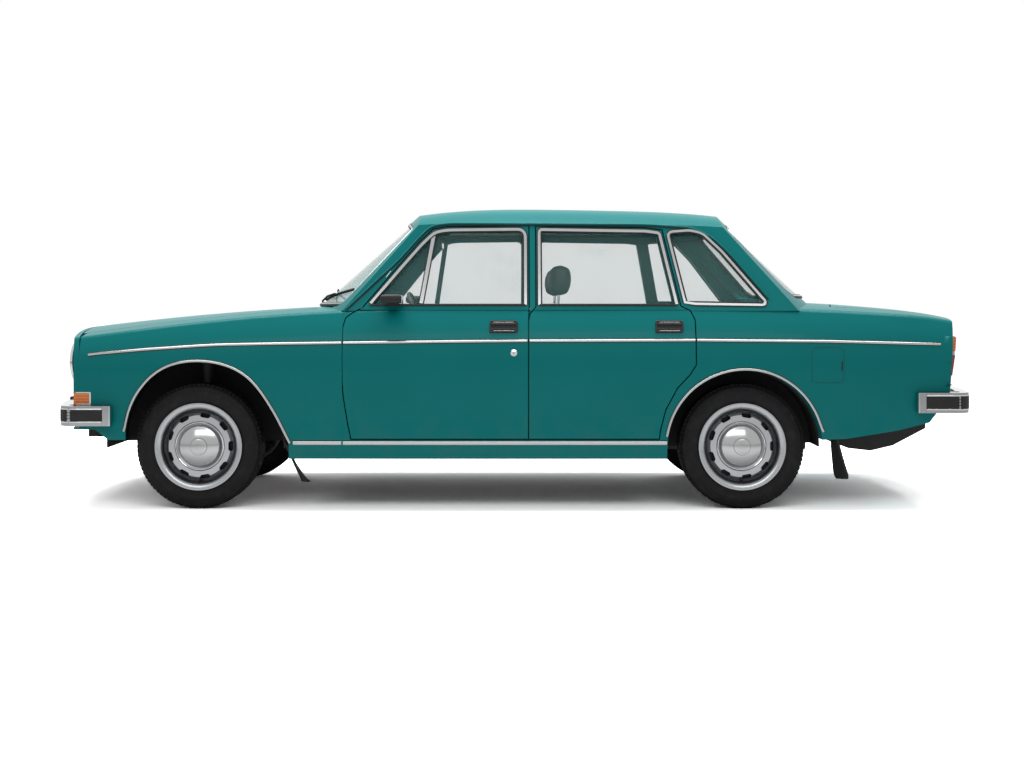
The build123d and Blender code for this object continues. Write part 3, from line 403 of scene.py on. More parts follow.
def set_lights():
    """Soft oblong lights from above and from the camera's side."""
    for name, place, turn, size, power in LIGHTS:
        light = bpy.data.lights.new(name, "AREA")
        light.shape = "RECTANGLE"
        light.size, light.size_y = size
        light.energy = power
        lamp = stand(name, light)
        lamp.location, lamp.rotation_euler = place, (turn, 0.0, 0.0)


def set_floor():
    """Wide floor that looks white and still takes the car's shadow."""
    mesh = bpy.data.meshes.new("floor")
    corners = [(FLOOR_REACH * x, FLOOR_REACH * y, 0) for x, y in ((-1, -1), (1, -1), (1, 1), (-1, 1))]
    mesh.from_pydata(corners, [], [(0, 1, 2, 3)])
    floor = stand("floor", mesh)
    pale = bpy.data.materials.new("pale_floor")
    pale.use_nodes = True
    tree = pale.node_tree
    tree.nodes.clear()
    seen = add_node(tree, "ShaderNodeLightPath")["Is Camera Ray"]
    tone = add_node(tree, "ShaderNodeMapRange", {"Value": seen, "To Min": FLOOR_UNSEEN, "To Max": FLOOR_SEEN})
    matt = add_node(tree, "ShaderNodeBsdfDiffuse", {"Color": tone[0]})
    add_node(tree, "ShaderNodeOutputMaterial", {"Surface": matt[0]})
    mesh.materials.append(pale)


bpy.context.scene.view_settings.view_transform = "Standard"
set_camera()
set_air()
set_lights()
set_floor()


# Shaping

CREASE_ANGLE = math.radians(32)
HEAPS = {}
STANDS_FOR = {
    "tail_red_shell": "tail_lamps", "mudflap_shell": "mudflaps",
    "bench_back": "rear_bench", "seat_back_left": "front_seats",
    **{f"tyre_wheel_{end}_{side}": f"tyre_{end}_{side}" for end in ("front", "rear") for side, _ in HANDS},
}


def heap(what, material, body="shell"):
    """The mesh that collects one body's pieces of one finish."""
    name = f"{what}_{body}"
    if name not in HEAPS:
        HEAPS[name] = (bmesh.new(), body, material)
    return HEAPS[name][0]


def settle(name, body, work, material):
    """Makes a finished piece of a mesh and lets it ride on a body."""
    bmesh.ops.recalc_face_normals(work, faces=work.faces)
    mesh = bpy.data.meshes.new(name)
    work.to_mesh(mesh)
    work.free()
    mesh.polygons.foreach_set("use_smooth", [True] * len(mesh.polygons))
    mesh.set_sharp_from_angle(angle=CREASE_ANGLE)
    mesh.materials.append(material)
    piece = stand(name, mesh)
    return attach(piece, body)


def steps(start, end, parts):
    return [start + (end - start) * i / parts for i in range(parts + 1)]


def travel(points, i):
    """Direction in which a run of points passes its point i."""
    return (points[min(i + 1, len(points) - 1)] - points[max(i - 1, 0)]).normalized()


def rings(work, loops, joined=False):
    """Skins a row of equal loops of points, and closes its ends unless the row itself is joined."""
    rows = [[work.verts.new(p) for p in loop] for loop in loops]
    pairs = list(zip(rows, rows[1:])) + ([(rows[-1], rows[0])] if joined else [])
    for low, high in pairs:
        for i in range(len(low)):
            j = (i + 1) % len(low)
            work.faces.new((low[i], low[j], high[j], high[i]))
    if not joined:
        work.faces.new(rows[0])
        work.faces.new(rows[-1])


def sweep(work, path, section, joined=False):
    """Carries a section, as (across, out) pairs, along points that each have a normal."""
    loops = []
    last = len(path) - 1
    for i, (place, normal) in enumerate(path):
        before = path[i - 1][0] if i or joined else place
        after = path[(i + 1) % len(path)][0] if i < last or joined else place
        arriving, leaving = place - before, after - place
        along = (after - before).normalized()
        mitre = 1.0
        if arriving.length > 1e-6 and leaving.length > 1e-6:
            mitre = 1.0 / max(0.35, math.cos(arriving.angle(leaving) / 2))
        across = along.cross(normal).normalized()
        out = across.cross(along).normalized()
        loops.append([place + across * (a * mitre) + out * h for a, h in section])
    rings(work, loops, joined)


def half_round(width, height, sunk=0.001):
    """Section of a moulding with a rounded face."""
    turns = [i * math.pi / 8 for i in range(9)]
    arc = [(-width / 2 * math.cos(t), height * math.sin(t) ** 0.7) for t in turns]
    return arc + [(width / 2, -sunk), (-width / 2, -sunk)]


def flat_strip(width, height, edge=0.0012, sunk=0.001):
    """Section of a flat moulding with eased edges."""
    w, low = width / 2, height - edge
    return [(-w, -sunk), (-w, low), (-w + edge, height), (w - edge, height), (w, low), (w, -sunk)]


def shifted(section, across, out=0.0):
    return [(a + across, h + out) for a, h in section]


def eased(points, radius=0.0, step=0.04):
    """A run of (x, z) points with its corners rounded off and its long runs divided."""
    points = [Vector(p) for p in points]
    corners = [points[0]]
    for before, corner, after in zip(points, points[1:], points[2:]):
        reach = min(radius, (corner - before).length * 0.45, (after - corner).length * 0.45)
        start = corner + (before - corner).normalized() * reach
        end = corner + (after - corner).normalized() * reach
        if reach < 1e-5:
            corners.append(corner)
            continue
        for i in range(6):
            t = i / 5
            corners.append(start * (1 - t) ** 2 + corner * (2 * t * (1 - t)) + end * t ** 2)
    corners.append(points[-1])
    run = []
    for a, b in zip(corners, corners[1:]):
        parts = max(1, round((b - a).length / step))
        run += [a.lerp(b, i / parts) for i in range(parts)]
    return run + [corners[-1]]


def oblong(start, end, low, high):
    """Corners of an upright oblong, as (x, z)."""
    return [(start, low), (start, high), (end, high), (end, low)]


def ring_of(points, radius, step=0.04):
    """A closed outline with its corners rounded off."""
    return eased(points + points[:1], radius, step)[:-1]


def curved(points):
    """A smooth run through (x, z) points."""
    points = [Vector(p) for p in points]
    padded = [points[0] * 2 - points[1]] + points + [points[-1] * 2 - points[-2]]
    run = []
    for a, b, c, d in zip(padded, padded[1:], padded[2:], padded[3:]):
        bend, twist = 2 * a - 5 * b + 4 * c - d, 3 * b - a - 3 * c + d
        run += [0.5 * (2 * b + (c - a) * t + bend * t * t + twist * t ** 3) for t in steps(0.0, 1.0, 8)[:-1]]
    return run + [points[-1]]


def offset_run(points, distance):
    """The same run moved sideways, to its left as it goes for a positive distance."""
    ways = [travel(points, i) for i in range(len(points))]
    return [p + Vector((-way.y, way.x)) * distance for p, way in zip(points, ways)]


class Skin:
    """Outer surface of some CAD nodes, to lay trim on."""

    def __init__(self, *names):
        points, faces = [], []
        for name in names:
            mesh = NODES[name].data
            faces += [[len(points) + i for i in face.vertices] for face in mesh.polygons]
            points += [v.co.copy() for v in mesh.vertices]
        self.tree = BVHTree.FromPolygons(points, faces)

    def meet(self, start, way):
        """Where a ray first meets the skin, with the normal that faces the ray."""
        place, normal, _, _ = self.tree.ray_cast(Vector(start), Vector(way))
        if place is None:
            return None
        return place, (-normal if normal.dot(Vector(way)) > 0 else normal)

    def every(self, starts, way):
        """Where rays from some points meet the skin, without those that miss it."""
        return [found for found in (self.meet(start, way) for start in starts) if found]

    def side(self, run, hand):
        """Points of an (x, z) run thrown onto the side that lies towards hand."""
        return self.every([(x, 1.3 * hand, z) for x, z in run], (0, -hand, 0))

    def end(self, run, way):
        """Points of a (y, z) run thrown onto the nose, for way +1, or the tail, for -1."""
        return self.every([(-3.0 * way, y, z) for y, z in run], (way, 0, 0))

    def above(self, run):
        """Points of an (x, y) run dropped onto what lies under them."""
        return self.every([(x, y, 2.5) for x, y in run], (0, 0, -1))

    def edge(self, run, hand):
        """An (x, z) run moved outwards until it meets the flank, and smoothed along its length."""
        flank, farthest, stride = 0.8, 0.07, 0.0005
        ways, shifts = [], []
        for i, p in enumerate(run):
            along = travel(run, i)
            ways.append(Vector((along.y, -along.x)))
            shift = 0.0
            while shift < farthest:
                found = self.side([p + ways[-1] * shift], hand)
                if found and abs(found[0][0].y) > flank:
                    break
                shift += stride
            shifts.append(shift)
        near = [shifts[max(i - 2, 0):i + 3] for i in range(len(run))]
        return [p + way * max(shift, sum(n) / len(n)) for p, way, shift, n in zip(run, ways, shifts, near)]

    def corner(self, level, middle, half, way, hand):
        """Points at one height round a corner of the body, from its side to its end face."""
        found = []
        for t in steps(0.0, math.pi / 2, 8):
            out = Vector((-way * math.sin(t), hand * math.cos(t), 0.0))
            found.append(self.meet(Vector((middle, half * hand, level)) + out * 0.6, -out))
        return [f for f in found if f]

    def wrap(self, level, middle, half, way, reach):
        """Points at one height right round a bumper, from one side's end to the other's."""
        flank = [(x, level) for x in steps(reach, middle, 8)[:-1]]
        left = self.side(flank, -1) + self.corner(level, middle, half, way, -1)
        face = self.end([(y, level) for y in steps(-half, half, 24)[1:-1]], way)
        right = self.side(flank, 1) + self.corner(level, middle, half, way, 1)
        places = [p for p, _ in left + face + right[::-1]]
        ways = [travel(places, i) for i in range(len(places))]
        return [(p, Vector((-along.y, along.x, 0.0)).normalized() * way) for p, along in zip(places, ways)]


def glasshouse(run, hand, proud=0.0):
    """Points of an (x, z) run on the leaning side of the cabin, which bows a little along its length."""
    path = []
    for x, z in run:
        share = (z - 1.0) / 0.48
        half = 0.782 - 0.176 * share
        fore, aft = front(730 + 408 * share), rear(262 - 404 * share)
        along = (x - (fore + aft) / 2) / ((aft - fore) / 2)
        y = half + 0.012 * (1 - along * along) + proud
        normal = Vector((0.024 * along / ((aft - fore) / 2), 1.0, 0.176 / 0.48)).normalized()
        path.append((Vector((x, y * hand, z)), Vector((normal.x, normal.y * hand, normal.z))))
    return path


def block(work, low, high, ease=0.004, rounds=2):
    """A box with rounded edges, as (x, y, z) corners."""
    made = bmesh.ops.create_cube(work, size=1.0)["verts"]
    low, high = Vector(low), Vector(high)
    for v in made:
        v.co = Vector((low[i] + (v.co[i] + 0.5) * (high[i] - low[i]) for i in range(3)))
    edges = list(dict.fromkeys(e for v in made for e in v.link_edges))
    bmesh.ops.bevel(work, geom=edges, offset=ease, segments=rounds, affect="EDGES", profile=0.5)


def turned(work, centre, axis, profile, count):
    """A shape turned round an axis, from (along, radius) pairs; a radius of 0 closes it."""
    axis = Vector(axis).normalized()
    side = axis.orthogonal().normalized()
    up = axis.cross(side)
    centre = Vector(centre)
    rows = []
    for along, radius in profile:
        if radius < 1e-6:
            rows.append([work.verts.new(centre + axis * along)])
            continue
        rows.append([
            work.verts.new(centre + axis * along + (side * math.cos(t) + up * math.sin(t)) * radius)
            for t in (2 * math.pi * i / count for i in range(count))
        ])
    for low, high in zip(rows, rows[1:]):
        for i in range(count):
            j = (i + 1) % count
            if len(low) == 1:
                work.faces.new((low[0], high[j], high[i]))
            elif len(high) == 1:
                work.faces.new((low[i], low[j], high[0]))
            else:
                work.faces.new((low[i], low[j], high[j], high[i]))
    for row in (rows[0], rows[-1]):
        if len(row) > 1:
            work.faces.new(row)


def hoop(work, centre, axis, section, count):
    """A ring round an axis, its closed section given as (along, radius) pairs."""
    axis = Vector(axis).normalized()
    side = axis.orthogonal().normalized()
    up = axis.cross(side)
    loops = []
    for i in range(count):
        t = 2 * math.pi * i / count
        out = side * math.cos(t) + up * math.sin(t)
        loops.append([Vector(centre) + axis * along + out * radius for along, radius in section])
    rings(work, loops, joined=True)


def slab(work, grid, thickness):
    """Closed sheet of even thickness over a grid of (point, normal) pairs."""
    upper = [[work.verts.new(p + n * thickness) for p, n in row] for row in grid]
    lower = [[work.verts.new(p) for p, n in row] for row in grid]
    last, end = len(grid) - 1, len(grid[0]) - 1
    for i in range(last):
        for j in range(end):
            work.faces.new((upper[i][j], upper[i][j + 1], upper[i + 1][j + 1], upper[i + 1][j]))
            work.faces.new((lower[i][j], lower[i + 1][j], lower[i + 1][j + 1], lower[i][j + 1]))
    for i in range(last):
        for j in (0, end):
            work.faces.new((upper[i][j], upper[i + 1][j], lower[i + 1][j], lower[i][j]))
    for j in range(end):
        for i in (0, last):
            work.faces.new((upper[i][j], lower[i][j], lower[i][j + 1], upper[i][j + 1]))


def merged(name):
    """A copy of a CAD node with its doubled points joined."""
    work = bmesh.new()
    work.from_mesh(NODES[name].data)
    bmesh.ops.remove_doubles(work, verts=work.verts, dist=1e-5)
    return work


def tube(work, points, radius, sides=10):
    """A round bar along a run of points."""
    points = [Vector(p) for p in points]
    normal = (points[1] - points[0]).orthogonal().normalized()
    loops = []
    for i, p in enumerate(points):
        along = travel(points, i)
        normal = (normal - along * normal.dot(along)).normalized()
        side = along.cross(normal)
        turns = [2 * math.pi * k / sides for k in range(sides)]
        loops.append([p + (normal * math.cos(t) + side * math.sin(t)) * radius for t in turns])
    rings(work, loops)


# Bright work along the sides

BELT_LINE = [
    (-532, 768), (-474, 775), (-375, 784), (-228, 796), (19, 813), (117, 818), (400, 824), (722, 828),
    (1200, 834), (1635, 838), (2457, 841), (3100, 835), (3669, 820),
]
SILL_LINE = 0.337
FRONT_ARCH = pairs(-1093, 334, -1187, 510, -1311, 664, -1495, 730, -1691, 705, -1837, 575, -1900, 388)
REAR_ARCH = pairs(1498, 373, 1412, 522, 1287, 637, 1122, 676, 955, 641, 831, 525, 782, 363)
FRONT_WINDOW = pairs(-689, 1013, -535, 1199, -438, 1313, -381, 1368, -322, 1378, 57, 1382, 57, 1013)
REAR_WINDOW = pairs(150, 1013, 150, 1380, 673, 1372, 732, 1364, 805, 1013)
WINDOW_FOOT = 1.0125
QUARTER_WINDOW = pairs(866, 1028, 793, 1372, 897, 1380, 955, 1366, 1045, 1277, 1231, 1048, 1253, 1022)
VENT_POST = [(front(1107), 1.018), (front(1166), 1.378)]
VENT_LATCH = [(front(930), 1.15), (front(952), 1.18)]
DRIP_RAIL = [
    (front(735), 0.992), (front(990), 1.236), (front(1090), 1.353), (front(1150), 1.412),
    (front(1240), 1.4235),
    (rear(-470), 1.417), (rear(-240), 1.403), (rear(-150), 1.364), (rear(-60), 1.278), (rear(128), 1.046),
]
# Strips of a window frame, bright one first, as (across, width, height)
DOOR_FRAME = ((0.012, 0.015, 0.005), (0.002, 0.007, 0.004), (0.0222, 0.0056, 0.003))
QUARTER_FRAME = ((0.009, 0.013, 0.005), (-0.001, 0.008, 0.0035), (0.018, 0.005, 0.003))
DOOR_LOCK = pairs(-2, 0, -2, 16.5, 3, 16.5, 5, 14.5, 5, 11, 6.5, 9.5, 6.5, 0)


def side_strips():
    """Belt moulding, sill moulding and wheel arch lips, each panel with its own length."""
    line = eased([(front(u), z / 1000) for u, z in BELT_LINE], 0.03)
    for side, hand in HANDS:
        wing, flank = f"wing_{side}", f"body_side_{side}"
        fore, aft = f"door_front_{side}", f"door_rear_{side}"
        for nodes, body, start, end in (
            ((wing,), "shell", front(-532), front(721)), ((fore,), fore, front(731), front(1632)),
            ((aft,), aft, front(1644), front(2454)),
            ((flank, "rear_panel"), "shell", front(2462), front(3680)),
        ):
            run = [p for p in line if start <= p.x <= end]
            run += [a.lerp(b, (x - a.x) / (b.x - a.x)) for x in (start, end)
                    for a, b in zip(line, line[1:]) if a.x <= x <= b.x and b.x > a.x]
            run.sort(key=lambda p: p.x)
            run = [a for a, b in zip(run, run[1:]) if (b - a).length > 0.004] + [run[-1]]
            path = Skin(*nodes).side(run, hand)
            sweep(heap("belt_strip", TRIM_STEEL, body), path, half_round(0.012, 0.005))
            for across in (-0.0075, 0.0075):
                sweep(heap("belt_gasket", SEAL, body), path, shifted(flat_strip(0.0038, 0.0016), across))
        for node, start, end in ((wing, 484, 721), (flank, 729, 2316)):
            path = Skin(node).side(eased([(front(start), SILL_LINE), (front(end), SILL_LINE)]), hand)
            sweep(heap("sill_strip", TRIM_STEEL), path, half_round(0.0185, 0.005))
            sweep(heap("sill_gasket", SEAL), path, shifted(flat_strip(0.0035, 0.0016), -0.0112))
        for node, arch in ((wing, FRONT_ARCH), (flank, REAR_ARCH)):
            skin = Skin(node)
            mouth = skin.edge(curved(arch), hand)
            for what, finish, across, section in (
                ("arch_lip", TRIM_STEEL, -0.0066, half_round(0.013, 0.006)),
                ("arch_bead", SEAL, -0.0148, flat_strip(0.0025, 0.0012)),
            ):
                sweep(heap(what, finish), skin.side(offset_run(mouth, across), hand), section)


def frame_strips(what, body, run, strips, hand, joined=False):
    """A bright strip and its seals along the outline of a side window."""
    kinds = (("frame", TRIM_STEEL), ("seal", SEAL), ("seal", SEAL))
    for (across, width, height), (part, finish) in zip(strips, kinds):
        path = glasshouse(offset_run(run, across), hand)
        sweep(heap(f"{what}_{part}", finish, body), path, flat_strip(width, height), joined)


def window_frames():
    """Polished frames with black seals round the side windows and the vent window's post, and the drip rails
    with a black strip of painted shadow under each.
    """
    for side, hand in HANDS:
        fore = f"door_front_{side}"
        for body, outline, turn in ((fore, FRONT_WINDOW, 0.03), (f"door_rear_{side}", REAR_WINDOW, 0.004)):
            frame_strips("window", body, eased(outline, turn), DOOR_FRAME, hand)
            foot = eased([(outline[0][0] - 0.012, WINDOW_FOOT), (outline[-1][0] + 0.012, WINDOW_FOOT)])
            sweep(heap("window_seal", SEAL, body), glasshouse(foot, hand), flat_strip(0.009, 0.006))
        post = eased(VENT_POST)
        for what, finish, run, section in (
            ("window_frame", TRIM_STEEL, post, flat_strip(0.019, 0.012)),
            ("window_seal", SEAL, offset_run(post, -0.0115), flat_strip(0.0045, 0.01)),
            ("window_seal", SEAL, offset_run(post, 0.0115), flat_strip(0.0045, 0.01)),
            ("window_frame", TRIM_STEEL, eased(VENT_LATCH), half_round(0.01, 0.01)),
        ):
            sweep(heap(what, finish, fore), glasshouse(run, hand, -0.01), section)
        frame_strips("quarter", "shell", ring_of(QUARTER_WINDOW, 0.018), QUARTER_FRAME, hand, joined=True)
        rail = eased(DRIP_RAIL, 0.05)
        sweep(heap("drip_rail", PAINT), glasshouse(rail, hand), half_round(0.009, 0.0095))
        shadow = glasshouse(offset_run(rail, -0.0075), hand)
        sweep(heap("drip_shadow", SEAL), shadow, flat_strip(0.006, 0.0022))


def handles():
    """Black pull handles in their recesses, the locks, the fuel flap with painted shade in its finger recess,
    and the mirror glasses.
    """
    for side, hand in HANDS:
        fore = f"door_front_{side}"
        for body, start, end in ((fore, 1452, 1581), (f"door_rear_{side}", 2266, 2393)):
            skin, start, end = Skin(body), front(start), front(end)
            loop = skin.side(ring_of(oblong(start, end, 0.881, 0.932), 0.01), hand)
            sweep(heap("handle", PLASTIC, body), loop, half_round(0.011, 0.0075), joined=True)
            for what, finish, z, section in (
                ("handle_well", SEAL, 0.9065, flat_strip(0.046, 0.003)),
                ("handle", PLASTIC, 0.918, half_round(0.015, 0.0105)),
                ("handle", PLASTIC, 0.892, half_round(0.008, 0.007)),
            ):
                path = skin.side(eased([(start + 0.004, z), (end - 0.004, z)]), hand)
                sweep(heap(what, finish, body), path, section)
            middle = (start + end) / 2
            for z in (0.9255, 0.8845):
                path = skin.side(eased([(middle - 0.05, z), (middle + 0.05, z)]), hand)
                sweep(heap("handle_edge", ALLOY, body), path, shifted(half_round(0.0022, 0.0016), 0, 0.0075))
        place, normal = Skin(fore).side([(front(1566), 0.779)], hand)[0]
        turned(heap("door_lock", CHROME, fore), place, normal, DOOR_LOCK, 28)
        slot, reach = place + Vector((0.0, 0.0066 * hand, 0.0)), Vector((0.0012, 0.001, 0.0065))
        block(heap("key_slot", SEAL, fore), slot - reach, slot + reach, 0.0003, 1)
        low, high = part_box(f"mirror_{side}")
        outer = high.y - 0.014 if hand > 0 else low.y + 0.014
        y0, y1 = sorted((outer, outer - 0.094 * hand))
        glass = heap("mirror_glass", CHROME, fore)
        block(glass, (high.x - 0.0015, y0, low.z + 0.013), (high.x + 0.0012, y1, high.z - 0.006), 0.001, 1)
    skin = Skin("body_side_left")
    loop = ring_of(oblong(front(3026), front(3185), 0.632, 0.806), 0.03, 0.02)
    edge = skin.side(offset_run(loop, -0.0045), -1)
    scoop = skin.side(eased([(front(3176), 0.69), (front(3176), 0.738)], step=0.01), -1)
    sweep(heap("fuel_flap_gap_and_shade", SEAL), skin.side(loop, -1), flat_strip(0.0032, 0.0005), joined=True)
    sweep(heap("fuel_flap_edge", PAINT), edge, half_round(0.0055, 0.0011), joined=True)
    # Dark strip at the flap's finger recess: painted shade in the recess.
    sweep(heap("fuel_flap_gap_and_shade", SEAL), scoop, half_round(0.008, 0.0012))


side_strips()
window_frames()
handles()


# Nose

LAMP_PLACE = (-2.211, 0.59, 0.728)
NOSE_MIDDLE = front(-560)
TAIL_MIDDLE = rear(990)
TAIL_CORNER_X = rear(1024)
CORNER_Y = 0.7
LAMP_PARTS = (
    ("lamp_bezel", CHROME, hoop, pairs(
        -34, 98.5, -4, 98.5, 2, 96, 4.5, 90.5, 3, 85.5, -2, 83.5, -6, 83.5, -8, 90, -34, 92.5
    ), 72),
    ("lamp_gasket", SEAL, hoop, pairs(-34, 101.5, -12, 101.5, -10, 98.5, -34, 97.5), 72),
    ("lamp_reflector", CHROME, hoop, pairs(
        -62, 18, -52, 45, -36, 66, -16, 79, -8, 82.5, -10, 84, -39, 69, -56, 47, -66, 18
    ), 64),
    ("lamp_bulb", WHITE_LENS, turned, pairs(-64, 0, -64, 19, -58, 19, -54, 10, -30, 11, -22, 7, -20, 0), 24),
)
RADIATOR_CAP = pairs(0, 0, 0, 28, 14, 28, 16, 24, 16, 0)


def round_parts(parts, centre, axis, body="shell"):
    """Hoops and turned shapes about one axis, as (name, finish, maker, profile, count)."""
    for what, finish, make, profile, count in parts:
        make(heap(what, finish, body), centre, axis, profile, count)


def headlamp_work():
    """Bezels, reflectors and bulbs of the two round headlamps."""
    x, y, z = LAMP_PLACE
    for _, hand in HANDS:
        round_parts(LAMP_PARTS, (x, y * hand, z), (-1, 0, 0))


def grille_work():
    """Dark baffle and radiator behind the bars."""
    block(heap("grille_baffle", SEAL), (-2.188, -0.47, 0.62), (-2.184, 0.47, 0.836), 0.001, 1)
    core = heap("radiator", CHASSIS)
    block(core, (-2.12, -0.33, 0.4), (-2.08, 0.33, 0.76), 0.006)
    block(core, (-2.128, -0.35, 0.75), (-2.072, 0.35, 0.8), 0.014)
    turned(core, (-2.1, 0.06, 0.798), (0, 0, 1), RADIATOR_CAP, 28)
    fins = heap("radiator_fins", ALLOY)
    for z in steps(0.41, 0.74, 44):
        block(fins, (-2.123, -0.322, z), (-2.1195, 0.322, z + 0.0022), 0.0004, 1)


def indicator_work():
    """Bright frames round the corner indicators, and ribs across them."""
    skin = Skin("indicators")
    for _, hand in HANDS:
        bright = heap("indicator_frame", CHROME)
        for z in (0.5225, 0.581):
            sweep(bright, skin.corner(z, -2.0775, CORNER_Y, 1, hand), flat_strip(0.0062, 0.003))
        upright = skin.side([(-2.078, z) for z in (0.5195, 0.552, 0.5835)], hand)
        sweep(bright, upright, flat_strip(0.0075, 0.003))
        ribs = heap("indicator_rib", AMBER)
        for z in steps(0.532, 0.572, 4):
            sweep(ribs, skin.corner(z, -2.082, CORNER_Y, 1, hand), half_round(0.003, 0.0012))


def bumper_work():
    """Rubber faces with beads and bright end caps on both bumpers, and the blank front plate."""
    for node, low, high, middle, way, (cap_near, cap_far), (foot, head) in (
        ("front_bumper", 0.421, 0.519, NOSE_MIDDLE, 1, (front(-448), front(-409)), (0.444, 0.5005)),
        ("rear_bumper", 0.485, 0.584, TAIL_MIDDLE, -1, (rear(884), rear(845)), (0.5055, 0.5665)),
    ):
        skin = Skin(node)
        wide = head - foot
        path = skin.wrap((foot + head) / 2, middle, CORNER_Y, way, cap_near)
        sweep(heap(f"{node}_rubber", RUBBER), path, flat_strip(wide, 0.0022, 0.001))
        for across in (-0.014, 0.0, 0.014):
            sweep(heap(f"{node}_rubber", RUBBER), path, shifted(half_round(0.005, 0.0014), across, 0.0018))
        for across in (-wide / 2 - 0.003, wide / 2 + 0.003):
            sweep(heap(f"{node}_bead", CHROME), path, shifted(half_round(0.006, 0.003), across))
        for _, hand in HANDS:
            x = (cap_near + cap_far) / 2
            upright = skin.side([(x, z) for z in steps(low + 0.002, high - 0.002, 6)], hand)
            sweep(heap(f"{node}_cap", CHROME), upright, flat_strip(abs(cap_far - cap_near), 0.005, 0.0035))
    block(heap("number_plate", PLATE), (-2.339, -0.26, 0.4165), (-2.3362, 0.26, 0.5245), 0.0012)
    block(heap("plate_holder", PLASTIC), (-2.337, -0.264, 0.413), (-2.318, 0.264, 0.528), 0.0025)


# Tail

LENS_EDGES = (0.652, 0.772)
RIM_EDGES = (0.649, 0.774)
BACKWARDS = Vector((1.0, 0.0, 0.0))
BOOT_LOCK = pairs(-3, 0, -3, 24, 3, 24, 7, 20, 7, 15, 11, 13, 11, 0)


def tail_lamp_work():
    """Lamps that stand proud of the painted tail: amber over a bright bar, red and white below."""
    HEAPS["tail_corner_shell"] = (merged("tail_lamps"), "shell", PAINT)
    skin = Skin("tail_lamps", "rear_panel")
    bright = heap("tail_rim", CHROME)
    for _, hand in HANDS:
        for what, finish, low, high, proud in (
            ("tail_amber", AMBER, 0.786, 0.854, 0.02), ("tail_bar", CHROME, 0.765, 0.786, 0.017),
            ("tail_red", RED, 0.664, 0.765, 0.02), ("tail_white", WHITE_LENS, 0.62, 0.664, 0.016),
        ):
            grid = []
            for z in steps(low, high, 6):
                sunk = 0.012 * max(0.0, (0.765 - z) / 0.145)
                row = skin.end([(y * hand, z) for y in steps(*LENS_EDGES, 8)], -1)
                grid.append([(Vector((max(p.x, TAIL_CORNER_X) - sunk, p.y, p.z)), BACKWARDS) for p, _ in row])
            slab(heap(what, finish), grid, proud)
        level, upright = half_round(0.008, 0.013), half_round(0.007, 0.006)
        rims = [(level, [(y * hand, z) for y in steps(*RIM_EDGES, 8)]) for z in (0.618, 0.856)]
        rims += [(upright, [(y * hand, z) for z in steps(0.616, 0.858, 8)]) for y in RIM_EDGES]
        for section, run in rims:
            sweep(bright, [(p, BACKWARDS) for p, _ in skin.end(run, -1)], section)


def boot_work():
    """Blank rear plate under its lamp, the boot's lock and the bright strip along the lid's foot."""
    skin = Skin("boot_lid")
    foot = skin.end([(y, 0.652) for y in steps(-0.596, 0.596, 24)], -1)
    sweep(heap("boot_strip", TRIM_STEEL, "boot_lid"), foot, half_round(0.014, 0.004))
    (plate, _), (lamp, _), (lock, normal) = skin.end([(0.0, 0.715), (0.0, 0.806), (0.0, 0.855)], -1)
    for what, finish, x, (x0, x1), half, (z0, z1), ease, rounds in (
        ("rear_plate_holder", PLASTIC, plate.x, (-0.02, 0.0025), 0.264, (0.662, 0.78), 0.0025, 2),
        ("rear_plate", PLATE, plate.x, (0.0015, 0.0045), 0.26, (0.666, 0.776), 0.0012, 2),
        ("plate_lamp", CHROME, lamp.x, (-0.02, 0.008), 0.11, (0.793, 0.815), 0.006, 3),
    ):
        block(heap(what, finish, "boot_lid"), (x + x0, -half, z0), (x + x1, half, z1), ease, rounds)
    turned(heap("boot_lock", CHROME, "boot_lid"), lock, normal, BOOT_LOCK, 36)


# Wheels and tyres

SIDEWALL = pairs(
    60, 200.6, 69, 210, 71.2, 219, 74.2, 221, 76, 226, 76.5, 231, 78.2, 233, 78.8, 240, 80.6, 249,
    81.8, 259, 82.5, 260, 82.5, 262.5, 81.6, 264, 81.2, 270, 82, 271.2, 81.8, 274, 80.6, 275.5, 79, 285,
    75.5, 293.5, 70, 299.5, 62, 302.5, 54, 303.5
)
CAP_TOP = 0.0806
CAP_DOME = 0.1977
WHEEL_PARTS = (
    ("trim_ring", RING_STEEL, hoop, pairs(
        66, 188.5, 70, 190.5, 75.2, 196, 78.8, 203, 80.2, 210, 80.6, 215, 81.6, 217.2, 82.8, 216.5, 83, 211,
        81.8, 203, 78.2, 194.5, 72.6, 187.8, 67.2, 185.8
    ), 96),
    ("rim_groove", SEAL, hoop, pairs(65.5, 186.8, 65.5, 180, 50, 176, 49, 179, 56, 186.8), 72),
    ("cap_ring", CHROME, hoop, pairs(49.8, 122.5, 54, 122, 56.5, 119, 54.5, 115.5, 48, 114, 44, 118), 72),
    ("hub_cap", TRIM_STEEL, turned, [
        (0.036, 0.0), (0.036, 0.0986), (0.052, 0.0986), (0.0553, 0.0972),
        *((CAP_TOP - CAP_DOME + math.sqrt(CAP_DOME ** 2 - r * r), r)
          for r in (0.094, 0.088, 0.08, 0.07, 0.06, 0.05, 0.043)),
        (0.0782, 0.0415), (0.0782, 0.0385), (0.0795, 0.036), (0.0818, 0.02), (0.0822, 0.0)], 72),
    # Black disc behind the wheel's slots: painted shade inside the wheel.
    ("slot_shade_disc", SEAL, hoop, pairs(2, 60, 6, 60, 6, 170, 2, 174), 48),
)
VALVE = pairs(30, 0, 30, 5.5, 58, 4.8, 60, 3.6, 70, 3.4, 70, 0)
TREAD_RADIUS = 0.3063
TREAD_ROWS = ((-0.05, 0.021), (-0.0255, 0.018), (0.0, 0.018), (0.0255, 0.018), (0.05, 0.021))
TREAD_BLOCKS = 84


